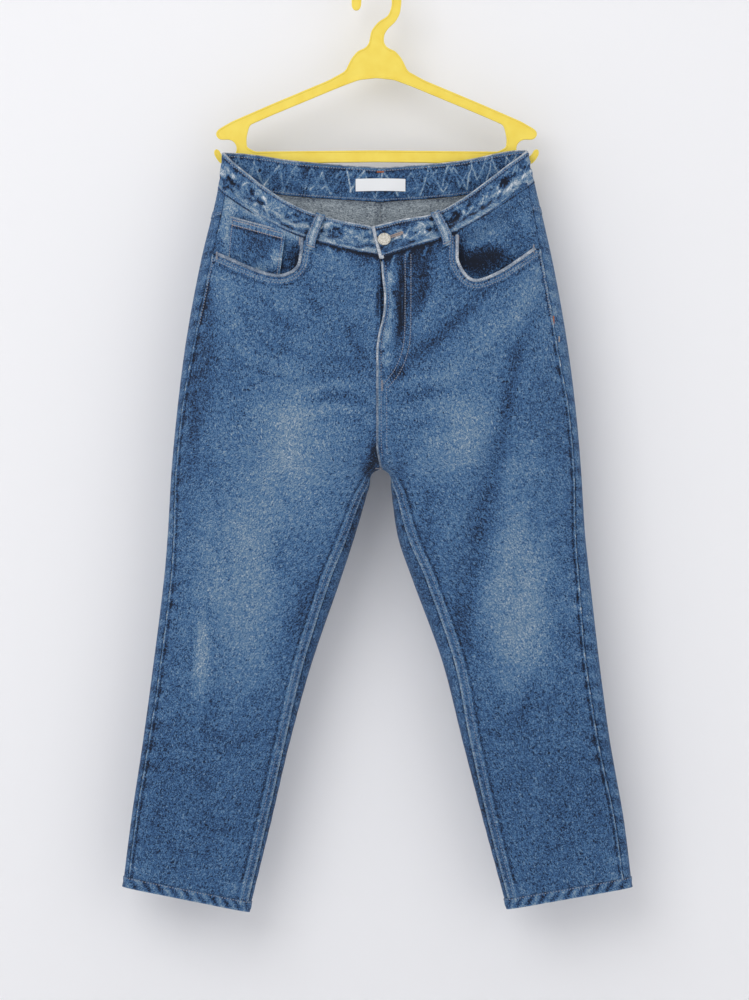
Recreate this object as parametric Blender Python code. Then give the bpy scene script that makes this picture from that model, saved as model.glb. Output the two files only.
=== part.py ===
"""Ankle-length straight jeans hanging from a moulded hanger by their two side-back belt loops.

Everything below is in millimetres until a mesh is made. X runs to the viewer's right, Y away from
the viewer and Z up. The origin is the top of the inside of the hanger's hook, where a rail carries it.
Right and left are the wearer's, so the right leg is at -X.
"""

import math
from collections import namedtuple

import bmesh
import bpy
import numpy as np
from mathutils import Vector

MM = 0.001
GAP = 0.3
HALF_GAP = GAP / 2
DENIM = 1.6
WAISTBAND_WALL = 3.0
HEM_WALL = 3.2
HEM_LIFT = 0.5
PATCH_WALL = 1.3
LOOP_WALL = 1.8
LOOP_WIDTH = 12.5

# The body of the garment
CENTRE_X = 5.0
CROTCH = -603.8
CROTCH_RADIUS = 12.5
CROTCH_REACH = 62.0
EDGE_RADIUS = 7.0
LEAST_POWER = 2.6
BEYOND_CENTRE = 12.0
SIDES = {"right": -1, "left": 1}

Section = namedtuple("Section", "height outer inner side_seam inseam")
# Widths are from the centre line; the seams are set in from the outer and inner edges of the leg.
SECTIONS = {
    "right": (
        Section(-208, 197.0, 12.5, 10.0, 0.0),
        Section(-254, 202.5, 12.5, 11.0, 0.0),
        Section(-342, 223.0, 12.5, 14.0, 0.0),
        Section(-442, 241.5, 12.5, 11.5, 0.0),
        Section(-542, 254.0, 12.5, 6.5, 0.0),
        Section(-616, 260.6, 12.5, 6.5, 3.0),
        Section(-642, 262.0, 18.8, 7.0, 6.0),
        Section(-692, 265.0, 33.5, 8.5, 9.5),
        Section(-742, 269.5, 50.0, 9.5, 13.0),
        Section(-842, 282.0, 84.5, 9.5, 10.5),
        Section(-942, 295.5, 112.5, 8.0, 6.5),
        Section(-1042, 310.5, 136.0, 6.5, 5.5),
        Section(-1160, 325.0, 165.0, 6.5, 4.5),
    ),
    "left": (
        Section(-208, 183.5, 12.5, 9.0, 0.0),
        Section(-254, 193.5, 12.5, 10.0, 0.0),
        Section(-342, 213.5, 12.5, 13.5, 0.0),
        Section(-442, 231.5, 12.5, 14.5, 0.0),
        Section(-542, 244.0, 12.5, 9.5, 0.0),
        Section(-616, 250.1, 12.5, 9.8, 3.0),
        Section(-642, 251.5, 14.6, 11.0, 7.0),
        Section(-692, 255.0, 22.6, 13.0, 13.0),
        Section(-742, 260.5, 40.0, 14.5, 17.0),
        Section(-842, 272.0, 76.5, 17.5, 15.0),
        Section(-942, 285.5, 102.0, 15.5, 9.5),
        Section(-1042, 303.0, 128.0, 12.0, 6.0),
        Section(-1160, 317.0, 160.0, 10.0, 4.5),
    ),
}

Depth = namedtuple("Depth", "height middle front back reach")
# Where the side edges lie, how far the front and the back stand off from them, and how far in from a
# side edge they reach that.
DEPTHS = (
    Depth(-208, -17.0, 16.0, 10.0, 140.0),
    Depth(-254, -18.0, 26.0, 11.0, 150.0),
    Depth(-342, -23.0, 36.0, 19.0, 165.0),
    Depth(-442, -27.0, 38.0, 30.0, 165.0),
    Depth(-542, -29.0, 33.0, 30.0, 140.0),
    Depth(-642, -29.0, 27.0, 25.0, 115.0),
    Depth(-742, -28.0, 23.0, 22.0, 100.0),
    Depth(-842, -27.0, 20.0, 19.0, 90.0),
    Depth(-942, -26.0, 17.5, 16.5, 80.0),
    Depth(-1042, -25.0, 15.0, 14.5, 75.0),
    Depth(-1160, -24.5, 13.0, 12.5, 70.0),
)

FlyEdge = namedtuple("FlyEdge", "height flap under")
# The lapped edge of the left front, which bows open half-way down, and the right front's edge by it.
FLY_EDGES = (
    FlyEdge(-330, 5.6, 4.9),
    FlyEdge(-362, 7.6, 4.9),
    FlyEdge(-392, 10.4, 4.9),
    FlyEdge(-414, 9.0, 4.9),
    FlyEdge(-436, 3.6, 2.9),
    FlyEdge(-460, 0.8, 0.1),
    FlyEdge(-575, 0.8, 0.1),
    FlyEdge(-598, 4.6, 4.3),
)

Crease = namedtuple("Crease", "face x0 z0 x1 z1 reach depth")
# Soft troughs (depth below zero) and ridges, each from one point to another and as wide as its reach.
CREASES = (
    Crease("front", 155, -567, 108, -770, 19, -4.5),
    Crease("front", 172, -720, 176, -820, 14, -1.8),
    Crease("front", -211, -715, -203, -880, 14, -2.2),
    Crease("front", -125, -690, -160, -830, 16, -1.6),
    Crease("front", -40, -530, -190, -475, 16, -1.8),
    Crease("front", 55, -535, 190, -480, 16, -1.8),
    Crease("back", -55, -612, -200, -585, 18, -4.0),
    Crease("back", 60, -616, 205, -580, 18, -4.2),
    Crease("back", -150, -700, -175, -860, 18, -3.0),
    Crease("back", 150, -690, 178, -850, 18, -3.2),
)

BandStation = namedtuple("BandStation", "share seam top_in top_up lean")
# The waistband, half by half: share 0 is the centre front, 1 the side edge and 2 the centre back.
# The seam is its lower edge's height; the other columns say where the upper edge is from there.
WAISTBAND = {
    "right": (
        BandStation(-0.20, -342.5, 6.0, 37.0, 14.0),
        BandStation(0.00, -340.0, 7.0, 36.0, 16.0),
        BandStation(0.24, -329.0, 9.5, 32.5, 20.0),
        BandStation(0.50, -311.0, 13.5, 31.0, 22.0),
        BandStation(0.76, -283.0, 17.5, 32.0, 17.0),
        BandStation(0.93, -262.0, 13.5, 38.0, 8.0),
        BandStation(1.00, -254.5, 5.6, 44.5, 1.0),
        BandStation(1.12, -255.0, 3.0, 44.5, 0.0),
        BandStation(1.50, -263.5, 1.0, 43.0, -1.0),
        BandStation(2.00, -270.5, 0.0, 42.0, -1.0),
    ),
    "left": (
        BandStation(-0.20, -346.5, 11.0, 39.0, 13.0),
        BandStation(0.00, -342.5, 9.5, 39.0, 14.0),
        BandStation(0.14, -332.0, 6.5, 37.0, 17.0),
        BandStation(0.34, -319.0, 8.5, 32.0, 21.0),
        BandStation(0.53, -300.0, 13.5, 31.0, 22.0),
        BandStation(0.77, -271.5, 16.5, 33.0, 17.0),
        BandStation(0.91, -255.0, 14.0, 36.0, 9.0),
        BandStation(1.00, -247.0, 8.5, 39.0, 1.0),
        BandStation(1.12, -249.0, 4.0, 42.0, 0.0),
        BandStation(1.50, -262.5, 1.0, 42.5, -1.0),
        BandStation(2.00, -270.5, 0.0, 42.0, -1.0),
    ),
}
BAND_GROOVE = 3.0
BAND_ROWS = (0.0, 0.3, 0.5, 0.7, 1.0)
BAND_CLEAR = GAP
OVERLAP = 34.0
UNDERLAP_DROP = WAISTBAND_WALL + GAP
# The button's side, share and height on the waistband, and how far into its groove it sits
BUTTON_PLACE = ("left", 0.041, 0.53)
BUTTON_SINK = 1.6

# Heights of each leg's bottom edge at the inseam and at the side seam, and the hem's depth
HEM_ENDS = {"right": (-1154.0, -1122.5), "left": (-1150.5, -1123.0)}
HEM_DEPTH = 13.0
HEM_COLUMNS = 34
YOKE_AT_CENTRE = -346.0
YOKE_AT_SIDE = {"right": -287.0, "left": -281.0}

# Pocket mouths, from the side seam round to the waistband, as points in the front view
POCKET_MOUTHS = {
    "right": (
        (-199.9, -333.8), (-176.9, -343.8), (-155.6, -353.1), (-131.9, -360.6),
        (-114.4, -360.6), (-99.4, -351.4), (-94.6, -335.4), (-93.1, -314.4),
    ),
    "left": (
        (197.9, -327.5), (179.4, -340.6), (154.4, -356.9), (127.6, -367.6),
        (112.5, -362.6), (101.6, -344.5), (100.6, -328.0), (100.6, -311.0),
    ),
}
# Heights of the panels' rows at the centre front and at the side seam, and how far down the leg the
# others are, as shares of its length
CENTRE_ROWS = (-340, -352, -385, -425, -465, -505, -545, -580, CROTCH)
SIDE_ROWS = (-325, -370, -420, -470, -515, -558, CROTCH + 8)
LEG_STEPS = (0.006, 0.016, 0.035, 0.07, 0.12, 0.18, 0.25, 0.32, 0.39, 0.46, 0.54, 0.62, 0.71, 0.80, 0.90, 1.0)
FRONT_COLUMNS = 15
BACK_COLUMNS = (
    0, 0.03, 0.06, 0.09, 0.12, 0.17, 0.25, 0.34, 0.43, 0.52, 0.61, 0.70, 0.78, 0.85, 0.90, 0.94, 0.97, 1.0,
)
FACING_SINK = 5.0
FACING_FOOT = -382.0
FACING_DROP = 7.0
FACING_SAG = {"right": 2.5, "left": 6.0}

# Where each front belt loop's foot is on the waistband's scale, and how far its top leans to the centre
FRONT_LOOPS = {"right": (0.378, 0.0), "left": (0.376, 0.024)}
# A front belt loop's path: how far below the seam, or up the waistband as a share, and how far out
LOOP_FOOT = ((12.0, 0.9), (5.0, 1.2))
LOOP_RUN = ((0.04, 2.0), (0.25, 2.6), (0.50, 2.8), (0.75, 2.4), (0.93, 1.2), (1.03, 0.8))

# The hanger, measured from the inside of its hook
HANGER_WALL = 5.0
HANGER_NOTCH_X = 186.5
HANGER_NOTCH_Z = -203.0
HANGER_NOTCH_R = 12.0
HOOK_LOOP_X = 184.5
HOOK_RADIUS = 25.3
HOOK_WIDTH = 12.0

INDIGO = (0.043, 0.098, 0.205)
FADED = (0.115, 0.185, 0.290)
PALE = (0.250, 0.290, 0.330)
WHITE = (0.700, 0.700, 0.680)
BRASS = (0.560, 0.540, 0.490)
YELLOW = (0.830, 0.640, 0.085)


def smooth_at(table, column, at, key="height"):
    """Reads one column of a table at any place between its rows, along a smooth curve."""
    xs = np.array([getattr(row, key) for row in table], float)
    ys = np.array([getattr(row, column) for row in table], float)
    if xs[0] > xs[-1]:
        xs, ys = xs[::-1], ys[::-1]
    rises = np.diff(ys) / np.diff(xs)
    slopes = np.concatenate([[rises[0]], (rises[1:] + rises[:-1]) / 2, [rises[-1]]])
    turns = np.concatenate([[1], rises[1:] * rises[:-1], [1]])
    slopes = np.where(turns <= 0, 0, slopes)
    at = np.clip(np.asarray(at, float), xs[0], xs[-1])
    i = np.clip(np.searchsorted(xs, at) - 1, 0, len(xs) - 2)
    step = xs[i + 1] - xs[i]
    t = (at - xs[i]) / step
    return (
        (1 + 2 * t) * (1 - t) ** 2 * ys[i]
        + t * (1 - t) ** 2 * step * slopes[i]
        + t * t * (3 - 2 * t) * ys[i + 1]
        + t * t * (t - 1) * step * slopes[i + 1]
    )


def smooth_line(points, count):
    """Evenly spaced points on a smooth curve through the given ones."""
    points = np.array(points, float)
    ahead = np.concatenate([points[1:], 2 * points[-1:] - points[-2:-1]])
    behind = np.concatenate([2 * points[:1] - points[1:2], points[:-1]])
    slopes = (ahead - behind) / 2
    fine = []
    for a, b, sa, sb in zip(points[:-1], points[1:], slopes[:-1], slopes[1:]):
        t = np.linspace(0, 1, 24, endpoint=False)[:, None]
        fine.append(
            (1 + 2 * t) * (1 - t) ** 2 * a + t * (1 - t) ** 2 * sa
            + t * t * (3 - 2 * t) * b + t * t * (t - 1) * sb
        )
    fine = np.concatenate([*fine, points[-1:]])
    along = np.concatenate([[0], np.cumsum(np.linalg.norm(np.diff(fine, axis=0), axis=1))])
    at = np.linspace(0, along[-1], count)
    return np.stack([np.interp(at, along, fine[:, k]) for k in range(fine.shape[1])], axis=1)


def edges_of(side, z):
    """The leg's inner and outer edge at a height. Above the crotch the inner one is past the centre."""
    outer = smooth_at(SECTIONS[side], "outer", z)
    down = z - (CROTCH - CROTCH_RADIUS)
    arch = np.sqrt(np.clip(CROTCH_RADIUS**2 - down**2, 0, None))
    leg = np.where(down > 0, arch, smooth_at(SECTIONS[side], "inner", z))
    above = np.clip(3 * (z - CROTCH), 0, BEYOND_CENTRE)
    return np.where(z < CROTCH, leg, -above), outer


def roll(distance, reach, depth):
    """How the cloth rises from a folded edge, as a share of its depth: round at first, then flat."""
    power = np.maximum(LEAST_POWER, 2 * EDGE_RADIUS * reach / depth**2)
    return np.sqrt(1 - (1 - np.clip(distance / reach, 0, 1)) ** power)


def rise_at(side, width, z, face):
    """The share of its full depth that a face has at a width and a height."""
    inner, outer = edges_of(side, z)
    depth = smooth_at(DEPTHS, face, z)
    down = z - (CROTCH - CROTCH_RADIUS)
    from_leg = width - inner
    from_arch = np.hypot(width, down) - CROTCH_RADIUS
    from_inner = np.where(down > 0, from_arch, from_leg)
    outer_side = roll(outer - width, smooth_at(DEPTHS, "reach", z), depth)
    return outer_side * roll(from_inner, CROTCH_REACH, depth)


def crease_at(face, x, z):
    """How far the cloth stands out at a point of the front or the back, from the table of creases."""
    out = np.zeros(np.broadcast(x, z).shape)
    for c in CREASES:
        if c.face != face:
            continue
        run = np.array([c.x1 - c.x0, c.z1 - c.z0], float)
        length = np.linalg.norm(run)
        run /= length
        along = ((x - c.x0) * run[0] + (z - c.z0) * run[1]) / length
        across = (x - c.x0) * run[1] - (z - c.z0) * run[0]
        ends = np.clip(np.minimum(along, 1 - along) / 0.3 + 0.5, 0, 1)
        out = out + c.depth * np.exp(-((across / c.reach) ** 2)) * ends * ends * (3 - 2 * ends)
    return out


def face_y(side, width, z, face):
    """The y of the cloth's outer surface at a width from the centre line and a height."""
    rise = rise_at(side, width, z, face)
    out = smooth_at(DEPTHS, face, z) + crease_at(face, CENTRE_X + SIDES[side] * width, z)
    middle = smooth_at(DEPTHS, "middle", z)
    return middle - out * rise if face == "front" else middle + out * rise


def ring(side, z, samples=72):
    """The section at each height, from its inner end along the front, round the outer edge, home along
    the back and on along the front: widths, y values and lengths, which are counted from the outer edge."""
    z = np.asarray(z, float).reshape(-1, 1)
    inner, outer = edges_of(side, z)
    swing = (1 - np.cos(np.linspace(0, math.pi, samples))) / 2
    width = inner + (outer - inner) * swing
    front, back = (face_y(side, width, z, face) for face in ("front", "back"))
    w = np.concatenate([width, width[:, -2::-1], width[:, 1:]], axis=1)
    y = np.concatenate([front, back[:, -2::-1], front[:, 1:]], axis=1)
    steps = np.hypot(np.diff(w, axis=1), np.diff(y, axis=1))
    along = np.concatenate([np.zeros((len(z), 1)), np.cumsum(steps, axis=1)], axis=1)
    return w, y, along - along[:, samples - 1: samples], samples


def per_row(at, xs, ys):
    return np.array([np.interp(a, x, y) for a, x, y in zip(at, xs, ys)])


def fly_edge(side, z):
    """How far past the centre line a front panel's edge lies, by the lapped fly seam."""
    column = "flap" if side == "left" else "under"
    place = smooth_at(FLY_EDGES, column, z)
    place = np.where(z < CROTCH + 6, CENTRE_X, place)
    return SIDES[side] * (place - CENTRE_X)


def marks(side, z):
    """Lengths along the section at which its seams lie: front centre or inseam, side seam, side edge,
    back centre or inseam."""
    w, y, along, samples = ring(side, z)
    z = np.asarray(z, float)
    inner, outer = edges_of(side, z)
    above = z >= CROTCH
    seam = smooth_at(SECTIONS[side], "inseam", z) * np.clip((CROTCH - z) / 30, 0, 1)
    start = np.where(above, np.maximum(fly_edge(side, z), inner), inner + seam)
    front = slice(0, samples)
    back = slice(samples - 1, 2 * samples - 1)
    first = per_row(start, w[:, front], along[:, front])
    side_at = outer - smooth_at(SECTIONS[side], "side_seam", z)
    side_seam = per_row(side_at, w[:, front], along[:, front])
    home = per_row(np.maximum(0, inner), w[:, back][:, ::-1], along[:, back][:, ::-1])
    last = np.where(above, home, along[:, 2 * samples - 2] + first - along[:, 0])
    return {"first": first, "side_seam": side_seam, "edge": np.zeros(len(z)), "last": last}


def band_share(side, z, along):
    """Where a point of the body is on the waistband's own scale: 0 centre front, 1 edge, 2 centre back."""
    w, _, lengths, samples = ring(side, z)
    at = marks(side, z)
    centre = per_row(np.zeros(len(z)), w[:, :samples], lengths[:, :samples])
    front = (along - centre) / (at["edge"] - centre)
    back = 1 + (along - at["edge"]) / (at["last"] - at["edge"])
    return np.where(along < at["edge"], front, back)


def length_at(side, z, width):
    """The length along the section at which its front has this width."""
    w, _, lengths, samples = ring(side, z)
    return per_row(width, w[:, :samples], lengths[:, :samples])


def surface(side, z, along):
    """Points of the outer surface, for heights and lengths along the section there."""
    w, y, lengths, _ = ring(side, z)
    width = per_row(along, lengths, w)
    depth = per_row(along, lengths, y)
    return np.stack([CENTRE_X + SIDES[side] * width, depth, z], axis=1)


def surface_with_normals(side, z, along, step=1.5):
    """The same points, with the direction that faces out of the garment."""
    across = surface(side, z, along + step) - surface(side, z, along - step)
    up = surface(side, z + step, along) - surface(side, z - step, along)
    out = np.cross(across, up) * SIDES[side]
    return surface(side, z, along), out / np.linalg.norm(out, axis=1, keepdims=True)


def along_panel(side, z, share, start, end):
    at = marks(side, z)
    begin, finish = at[start] + HALF_GAP, at[end] - HALF_GAP
    return begin + (finish - begin) * share


def waist_line(side, share, start, end):
    """Heights at which a panel's columns meet the waistband's lower edge."""
    z = np.full(share.shape, band_at(side, 0.5, "seam"))
    for _ in range(6):
        z = band_at(side, band_share(side, z, along_panel(side, z, share, start, end)), "seam")
    return z - GAP


def hem_height(side, width, z):
    """The height of the leg's bottom edge at a width from the centre line."""
    inner, outer = edges_of(side, z)
    inner_end, outer_end = HEM_ENDS[side]
    return inner_end + (outer_end - inner_end) * np.clip((width - inner) / (outer - inner), 0, 1)


def hem_line(side, share, start, end):
    """Heights at which a panel's columns meet the top of the hem."""
    z = np.full(share.shape, HEM_ENDS[side][0] + HEM_DEPTH)
    for _ in range(4):
        points = surface(side, z, along_panel(side, z, share, start, end))
        z = hem_height(side, np.abs(points[:, 0] - CENTRE_X), z) + HEM_DEPTH
    return z + GAP


def panel_grid(side, z, share, start, end):
    """A grid of points and normals: rows of heights, and shares of the way from one mark to another."""
    flat = z.ravel()
    points, out = surface_with_normals(side, flat, along_panel(side, flat, share.ravel(), start, end))
    return points.reshape(*z.shape, 3), out.reshape(*z.shape, 3)


def material(name, colour, roughness, metallic=0.0):
    made = bpy.data.materials.new(name)
    made.use_nodes = True
    shader = made.node_tree.nodes["Principled BSDF"]
    shader.inputs["Base Color"].default_value = (*colour, 1)
    shader.inputs["Roughness"].default_value = roughness
    shader.inputs["Metallic"].default_value = metallic
    return made


def add_mesh(name, points, faces, finish):
    """Makes an object of points in millimetres, with its faces turned outwards."""
    mesh = bpy.data.meshes.new(name)
    mesh.from_pydata([tuple(p) for p in np.asarray(points) * MM], [], faces)
    made = bmesh.new()
    made.from_mesh(mesh)
    bmesh.ops.recalc_face_normals(made, faces=made.faces)
    if made.calc_volume(signed=True) < 0:
        bmesh.ops.reverse_faces(made, faces=made.faces)
    made.to_mesh(mesh)
    made.free()
    mesh.materials.append(finish)
    mesh.shade_smooth()
    mesh.set_sharp_from_angle(angle=math.radians(40))
    obj = bpy.data.objects.new(name, mesh)
    bpy.context.scene.collection.objects.link(obj)
    return obj


def add_wall(name, outer, inner, finish, loop=False):
    """A closed wall between two grids of points. With loop, its columns run all the way round."""
    rows, columns = outer.shape[:2]
    points = np.concatenate([outer.reshape(-1, 3), inner.reshape(-1, 3)])
    top = rows * columns
    faces = []
    spans = columns if loop else columns - 1
    for r in range(rows - 1):
        for c in range(spans):
            n = (c + 1) % columns
            a, b, d, e = r * columns + c, r * columns + n, (r + 1) * columns + n, (r + 1) * columns + c
            faces += [(a, b, d, e), (top + a, top + e, top + d, top + b)]
    for c in range(spans):
        n = (c + 1) % columns
        last = (rows - 1) * columns
        faces += [(c, top + c, top + n, n), (last + c, last + n, top + last + n, top + last + c)]
    if not loop:
        for r in range(rows - 1):
            a, b = r * columns, (r + 1) * columns
            c, d = a + columns - 1, b + columns - 1
            faces += [(a, b, top + b, top + a), (c, top + c, top + d, d)]
    return add_mesh(name, points, faces, finish)


def band_at(side, share, column):
    return smooth_at(WAISTBAND[side], column, share, key="share")


def band_frame(side, share):
    """The waistband's lower and upper edge at each share, on its outer face."""
    share = np.asarray(share, float)
    z = band_at(side, share, "seam")
    at = marks(side, z)
    w, _, lengths, samples = ring(side, z)
    centre = per_row(np.zeros(len(z)), w[:, :samples], lengths[:, :samples])
    front = centre + (at["edge"] - centre) * share
    back = at["edge"] + (at["last"] - at["edge"]) * (share - 1)
    low = surface(side, z, np.where(share <= 1, front, back))
    high = low.copy()
    high[:, 0] -= SIDES[side] * band_at(side, share, "top_in")
    high[:, 1] += band_at(side, share, "lean")
    high[:, 2] += band_at(side, share, "top_up")
    return low, high


def band_grid(stations):
    """Outer points of the waistband for a run of (side, share, sunk) stations, with its normals."""
    lows, highs = [], []
    for side, share, _ in stations:
        low, high = band_frame(side, [share])
        lows.append(low[0])
        highs.append(high[0])
    low, high = np.array(lows), np.array(highs)
    run = np.gradient(low + high, axis=0)
    out = np.cross(high - low, run)
    out /= np.linalg.norm(out, axis=1, keepdims=True)
    low_rim = low + (high - low) * (BAND_CLEAR / np.linalg.norm(high - low, axis=1, keepdims=True))
    level = out * (1, 1, 0)
    level /= np.linalg.norm(level, axis=1, keepdims=True)
    rows, walls = [], []
    sunk = np.array([s[2] for s in stations])[:, None]
    front = np.array([1.0 if share < 1 else 0.0 for _, share, _ in stations])[:, None]
    for r in BAND_ROWS:
        groove = BAND_GROOVE * math.sin(math.pi * r) ** 4 * front
        wall = level + (out - level) * min(1.0, 2 * r)
        rows.append(low_rim + (high - low_rim) * r - wall * (sunk + groove))
        walls.append(wall)
    return np.array(rows), np.array(walls)


def waistband_stations():
    """The strip's run: under the lap, round the right side, the back and the left side, and over it."""
    under = np.linspace(OVERLAP, 0, 5)
    width = 212.0
    run = [("left", u / width, UNDERLAP_DROP) for u in under[:-1]]
    shares = np.concatenate([
        np.linspace(0, 0.84, 12), (0.90, 0.95, 0.98, 1.0, 1.03, 1.07, 1.12), np.linspace(1.2, 1.92, 9),
    ])
    for share in shares:
        sunk = UNDERLAP_DROP * float(np.clip(1.6 - share * 11, 0, 1))
        run.append(("right", share, sunk))
    run.append(("right", 2.0, 0.0))
    for share in shares[::-1]:
        run.append(("left", share, 0.0))
    run[-1] = ("left", 0.001, 0.0)
    return run


def leg_rows(side, z_first, z_second, shares, start, end, top, columns):
    """Rows of heights for a panel: those of the body, then those of the leg down to the hem. The first
    row follows the given top line and the last one the hem; the rows between take less of each."""
    steps = np.array(LEG_STEPS)
    bottom = hem_line(side, shares, start, end)
    ends = bottom[0], bottom[-1]
    first = np.concatenate([z_first, z_first[-1] + (ends[0] - z_first[-1]) * steps])
    second = np.concatenate([z_second, z_second[-1] + (ends[1] - z_second[-1]) * steps])
    z = first[:, None] * (1 - columns) + second[:, None] * columns
    body = np.clip((first - CROTCH) / (first[0] - CROTCH), 0, 1)[:, None] ** 1.5
    leg = np.clip((z_first[-1] - first) / (z_first[-1] - ends[0]), 0, 1)[:, None] ** 2
    return z + (top - z[0]) * body + (bottom - z[-1]) * leg


def front_panel(side, finish):
    """A front leg panel: its rows follow the waist seam at the top and the hem at the bottom."""
    shares = np.linspace(0, 1, FRONT_COLUMNS)
    top = waist_line(side, shares, "first", "side_seam")
    centre = np.array([top[0], *CENTRE_ROWS[1:]])
    sides = np.array([top[-1], YOKE_AT_SIDE[side], *SIDE_ROWS])
    z = leg_rows(side, centre, sides, shares, "first", "side_seam", top, shares)
    outer, out = panel_grid(side, z, np.broadcast_to(shares, z.shape), "first", "side_seam")
    return add_wall(f"front_{side}", outer, outer - out * DENIM, finish)


def back_panel(side, finish):
    """A back leg panel, from the yoke seam down. It wraps round both edges of the leg to the front."""
    shares = np.array(BACK_COLUMNS)
    sides = np.array([YOKE_AT_SIDE[side] - GAP, *SIDE_ROWS])
    centre = np.array([YOKE_AT_CENTRE - GAP, *CENTRE_ROWS[2:]])
    top = sides[0] + (centre[0] - sides[0]) * shares
    z = leg_rows(side, sides, centre, shares, "side_seam", "last", top, shares)
    outer, out = panel_grid(side, z, np.broadcast_to(shares, z.shape), "side_seam", "last")
    return add_wall(f"back_{side}", outer, outer - out * DENIM, finish)


def yoke(side, finish):
    """The back yoke: deepest at the centre back, narrow at the side seam."""
    shares = np.array([0, 0.05, 0.10, 0.15, 0.22, 0.32, 0.44, 0.56, 0.68, 0.80, 0.90, 1.0])
    top = waist_line(side, shares, "side_seam", "last")
    bottom = YOKE_AT_SIDE[side] * (1 - shares) + YOKE_AT_CENTRE * shares
    rows = np.linspace(0, 1, 4)[:, None]
    z = top * (1 - rows) + bottom * rows
    outer, out = panel_grid(side, z, np.broadcast_to(shares, z.shape), "side_seam", "last")
    return add_wall(f"yoke_{side}", outer, outer - out * DENIM, finish)


def hem(side, finish):
    """The leg's end, turned up twice and stitched: a ring three layers thick."""
    share = np.arange(HEM_COLUMNS) / HEM_COLUMNS
    grids = []
    for up in (HEM_DEPTH, HEM_DEPTH / 2, 0):
        z = np.full(HEM_COLUMNS, HEM_ENDS[side][0] + up)
        for _ in range(4):
            _, _, lengths, samples = ring(side, z)
            along = lengths[:, 0] + (lengths[:, 2 * samples - 2] - lengths[:, 0]) * share
            width = np.abs(surface(side, z, along)[:, 0] - CENTRE_X)
            z = hem_height(side, width, z) + up
        grids.append(surface_with_normals(side, z, along))
    points = np.array([g[0] for g in grids])
    out = np.array([g[1] for g in grids])
    return add_wall(
        f"hem_{side}", points + out * HEM_LIFT, points - out * (HEM_WALL - HEM_LIFT), finish, loop=True
    )


def lie_on(face, x, z, lift):
    """Points at a front-view place on the front or back, moved out from the panel by a lift."""
    x, z = np.asarray(x, float), np.asarray(z, float)

    def depth(x, z):
        width = np.abs(x - CENTRE_X)
        right = face_y("right", width, z, face)
        left = face_y("left", width, z, face)
        return np.where(x < CENTRE_X, right, left)

    step = 1.0
    slope_x = (depth(x + step, z) - depth(x - step, z)) / (2 * step)
    slope_z = (depth(x, z + step) - depth(x, z - step)) / (2 * step)
    facing = -1.0 if face == "front" else 1.0
    out = np.stack([-slope_x * facing, np.full(x.shape, facing), -slope_z * facing], axis=-1)
    out /= np.linalg.norm(out, axis=-1, keepdims=True)
    return np.stack([x, depth(x, z), z], axis=-1) + out * np.asarray(lift)[..., None], out


def add_patch(name, face, x, z, lift, wall, finish):
    """A piece of cloth that lies on a panel: grids of places, its underside's lift and its wall."""
    under, out = lie_on(face, x, z, lift)
    return add_wall(name, under + out * wall, under, finish)


def pocket_facing(side, finish):
    """The denim behind a pocket mouth, from the waist seam and side seam to below the mouth."""
    p, q = np.meshgrid(np.linspace(0, 1, 10), np.linspace(0, 1, 8))
    inner_width = abs(POCKET_MOUTHS[side][-1][0] - CENTRE_X) - 14
    widths = inner_width + (edges_of(side, FACING_FOOT)[1] - 24 - inner_width) * p[0]
    top = np.full(widths.shape, band_at(side, 0.7, "seam"))
    for _ in range(6):
        top = band_at(side, band_share(side, top, length_at(side, top, widths)), "seam")
    bottom = FACING_FOOT + 26 * p**2
    top -= 2 * GAP + FACING_DROP * p[0] ** 2
    z = top + (bottom - top) * q
    outer = edges_of(side, z)[1] - smooth_at(SECTIONS[side], "side_seam", z) - 2 * GAP
    width = inner_width + (outer - inner_width) * p
    sag = np.sin(math.pi * p) * np.sin(0.75 * math.pi * q)
    lift = -(FACING_SINK + PATCH_WALL * 0.4 + FACING_SAG[side] * sag)
    return add_patch(f"facing_{side}", "front", CENTRE_X + SIDES[side] * width, z, lift, PATCH_WALL, finish)


def cut_pocket_mouth(panel, side):
    """Cuts the pocket mouth out of a front panel's upper outer corner."""
    sign = SIDES[side]
    mouth = smooth_line(POCKET_MOUTHS[side], 30)
    beyond = 90.0
    ring_points = [
        *mouth, (mouth[-1, 0], mouth[-1, 1] + beyond), (mouth[0, 0] + sign * beyond, mouth[-1, 1] + beyond),
        (mouth[0, 0] + sign * beyond, mouth[0, 1]),
    ]
    near, far = -140.0, 0.0
    count = len(ring_points)
    points = [(x, y, z) for y in (near, far) for x, z in ring_points]
    faces = [tuple(range(count)), tuple(range(2 * count - 1, count - 1, -1))]
    faces += [(i, (i + 1) % count, count + (i + 1) % count, count + i) for i in range(count)]
    cutter = add_mesh(f"pocket_cutter_{side}", points, faces, panel.data.materials[0])
    cutter.hide_render = True
    cutter.display_type = "WIRE"
    cut = panel.modifiers.new("pocket mouth", "BOOLEAN")
    cut.object = cutter
    cut.operation = "DIFFERENCE"


def coin_pocket(finish):
    """The small pocket on the right facing. Its foot goes down inside the main pocket."""
    corners = {"top": ((-181.9, -290.6), (-112.3, -309.9)), "foot": ((-187.5, -348.0), (-121.0, -369.0))}
    p, q = np.meshgrid(np.linspace(0, 1, 7), np.linspace(0, 1, 6))
    (ax, az), (bx, bz) = corners["top"]
    (cx, cz), (dx, dz) = corners["foot"]
    x = (ax + (bx - ax) * p) * (1 - q) + (cx + (dx - cx) * p) * q
    z = (az + (bz - az) * p) * (1 - q) + (cz + (dz - cz) * p) * q
    lift = np.full(x.shape, -FACING_SINK + PATCH_WALL * 0.6 + GAP + 0.1)
    return add_patch("coin_pocket", "front", x, z, lift, 1.2, finish)


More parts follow.
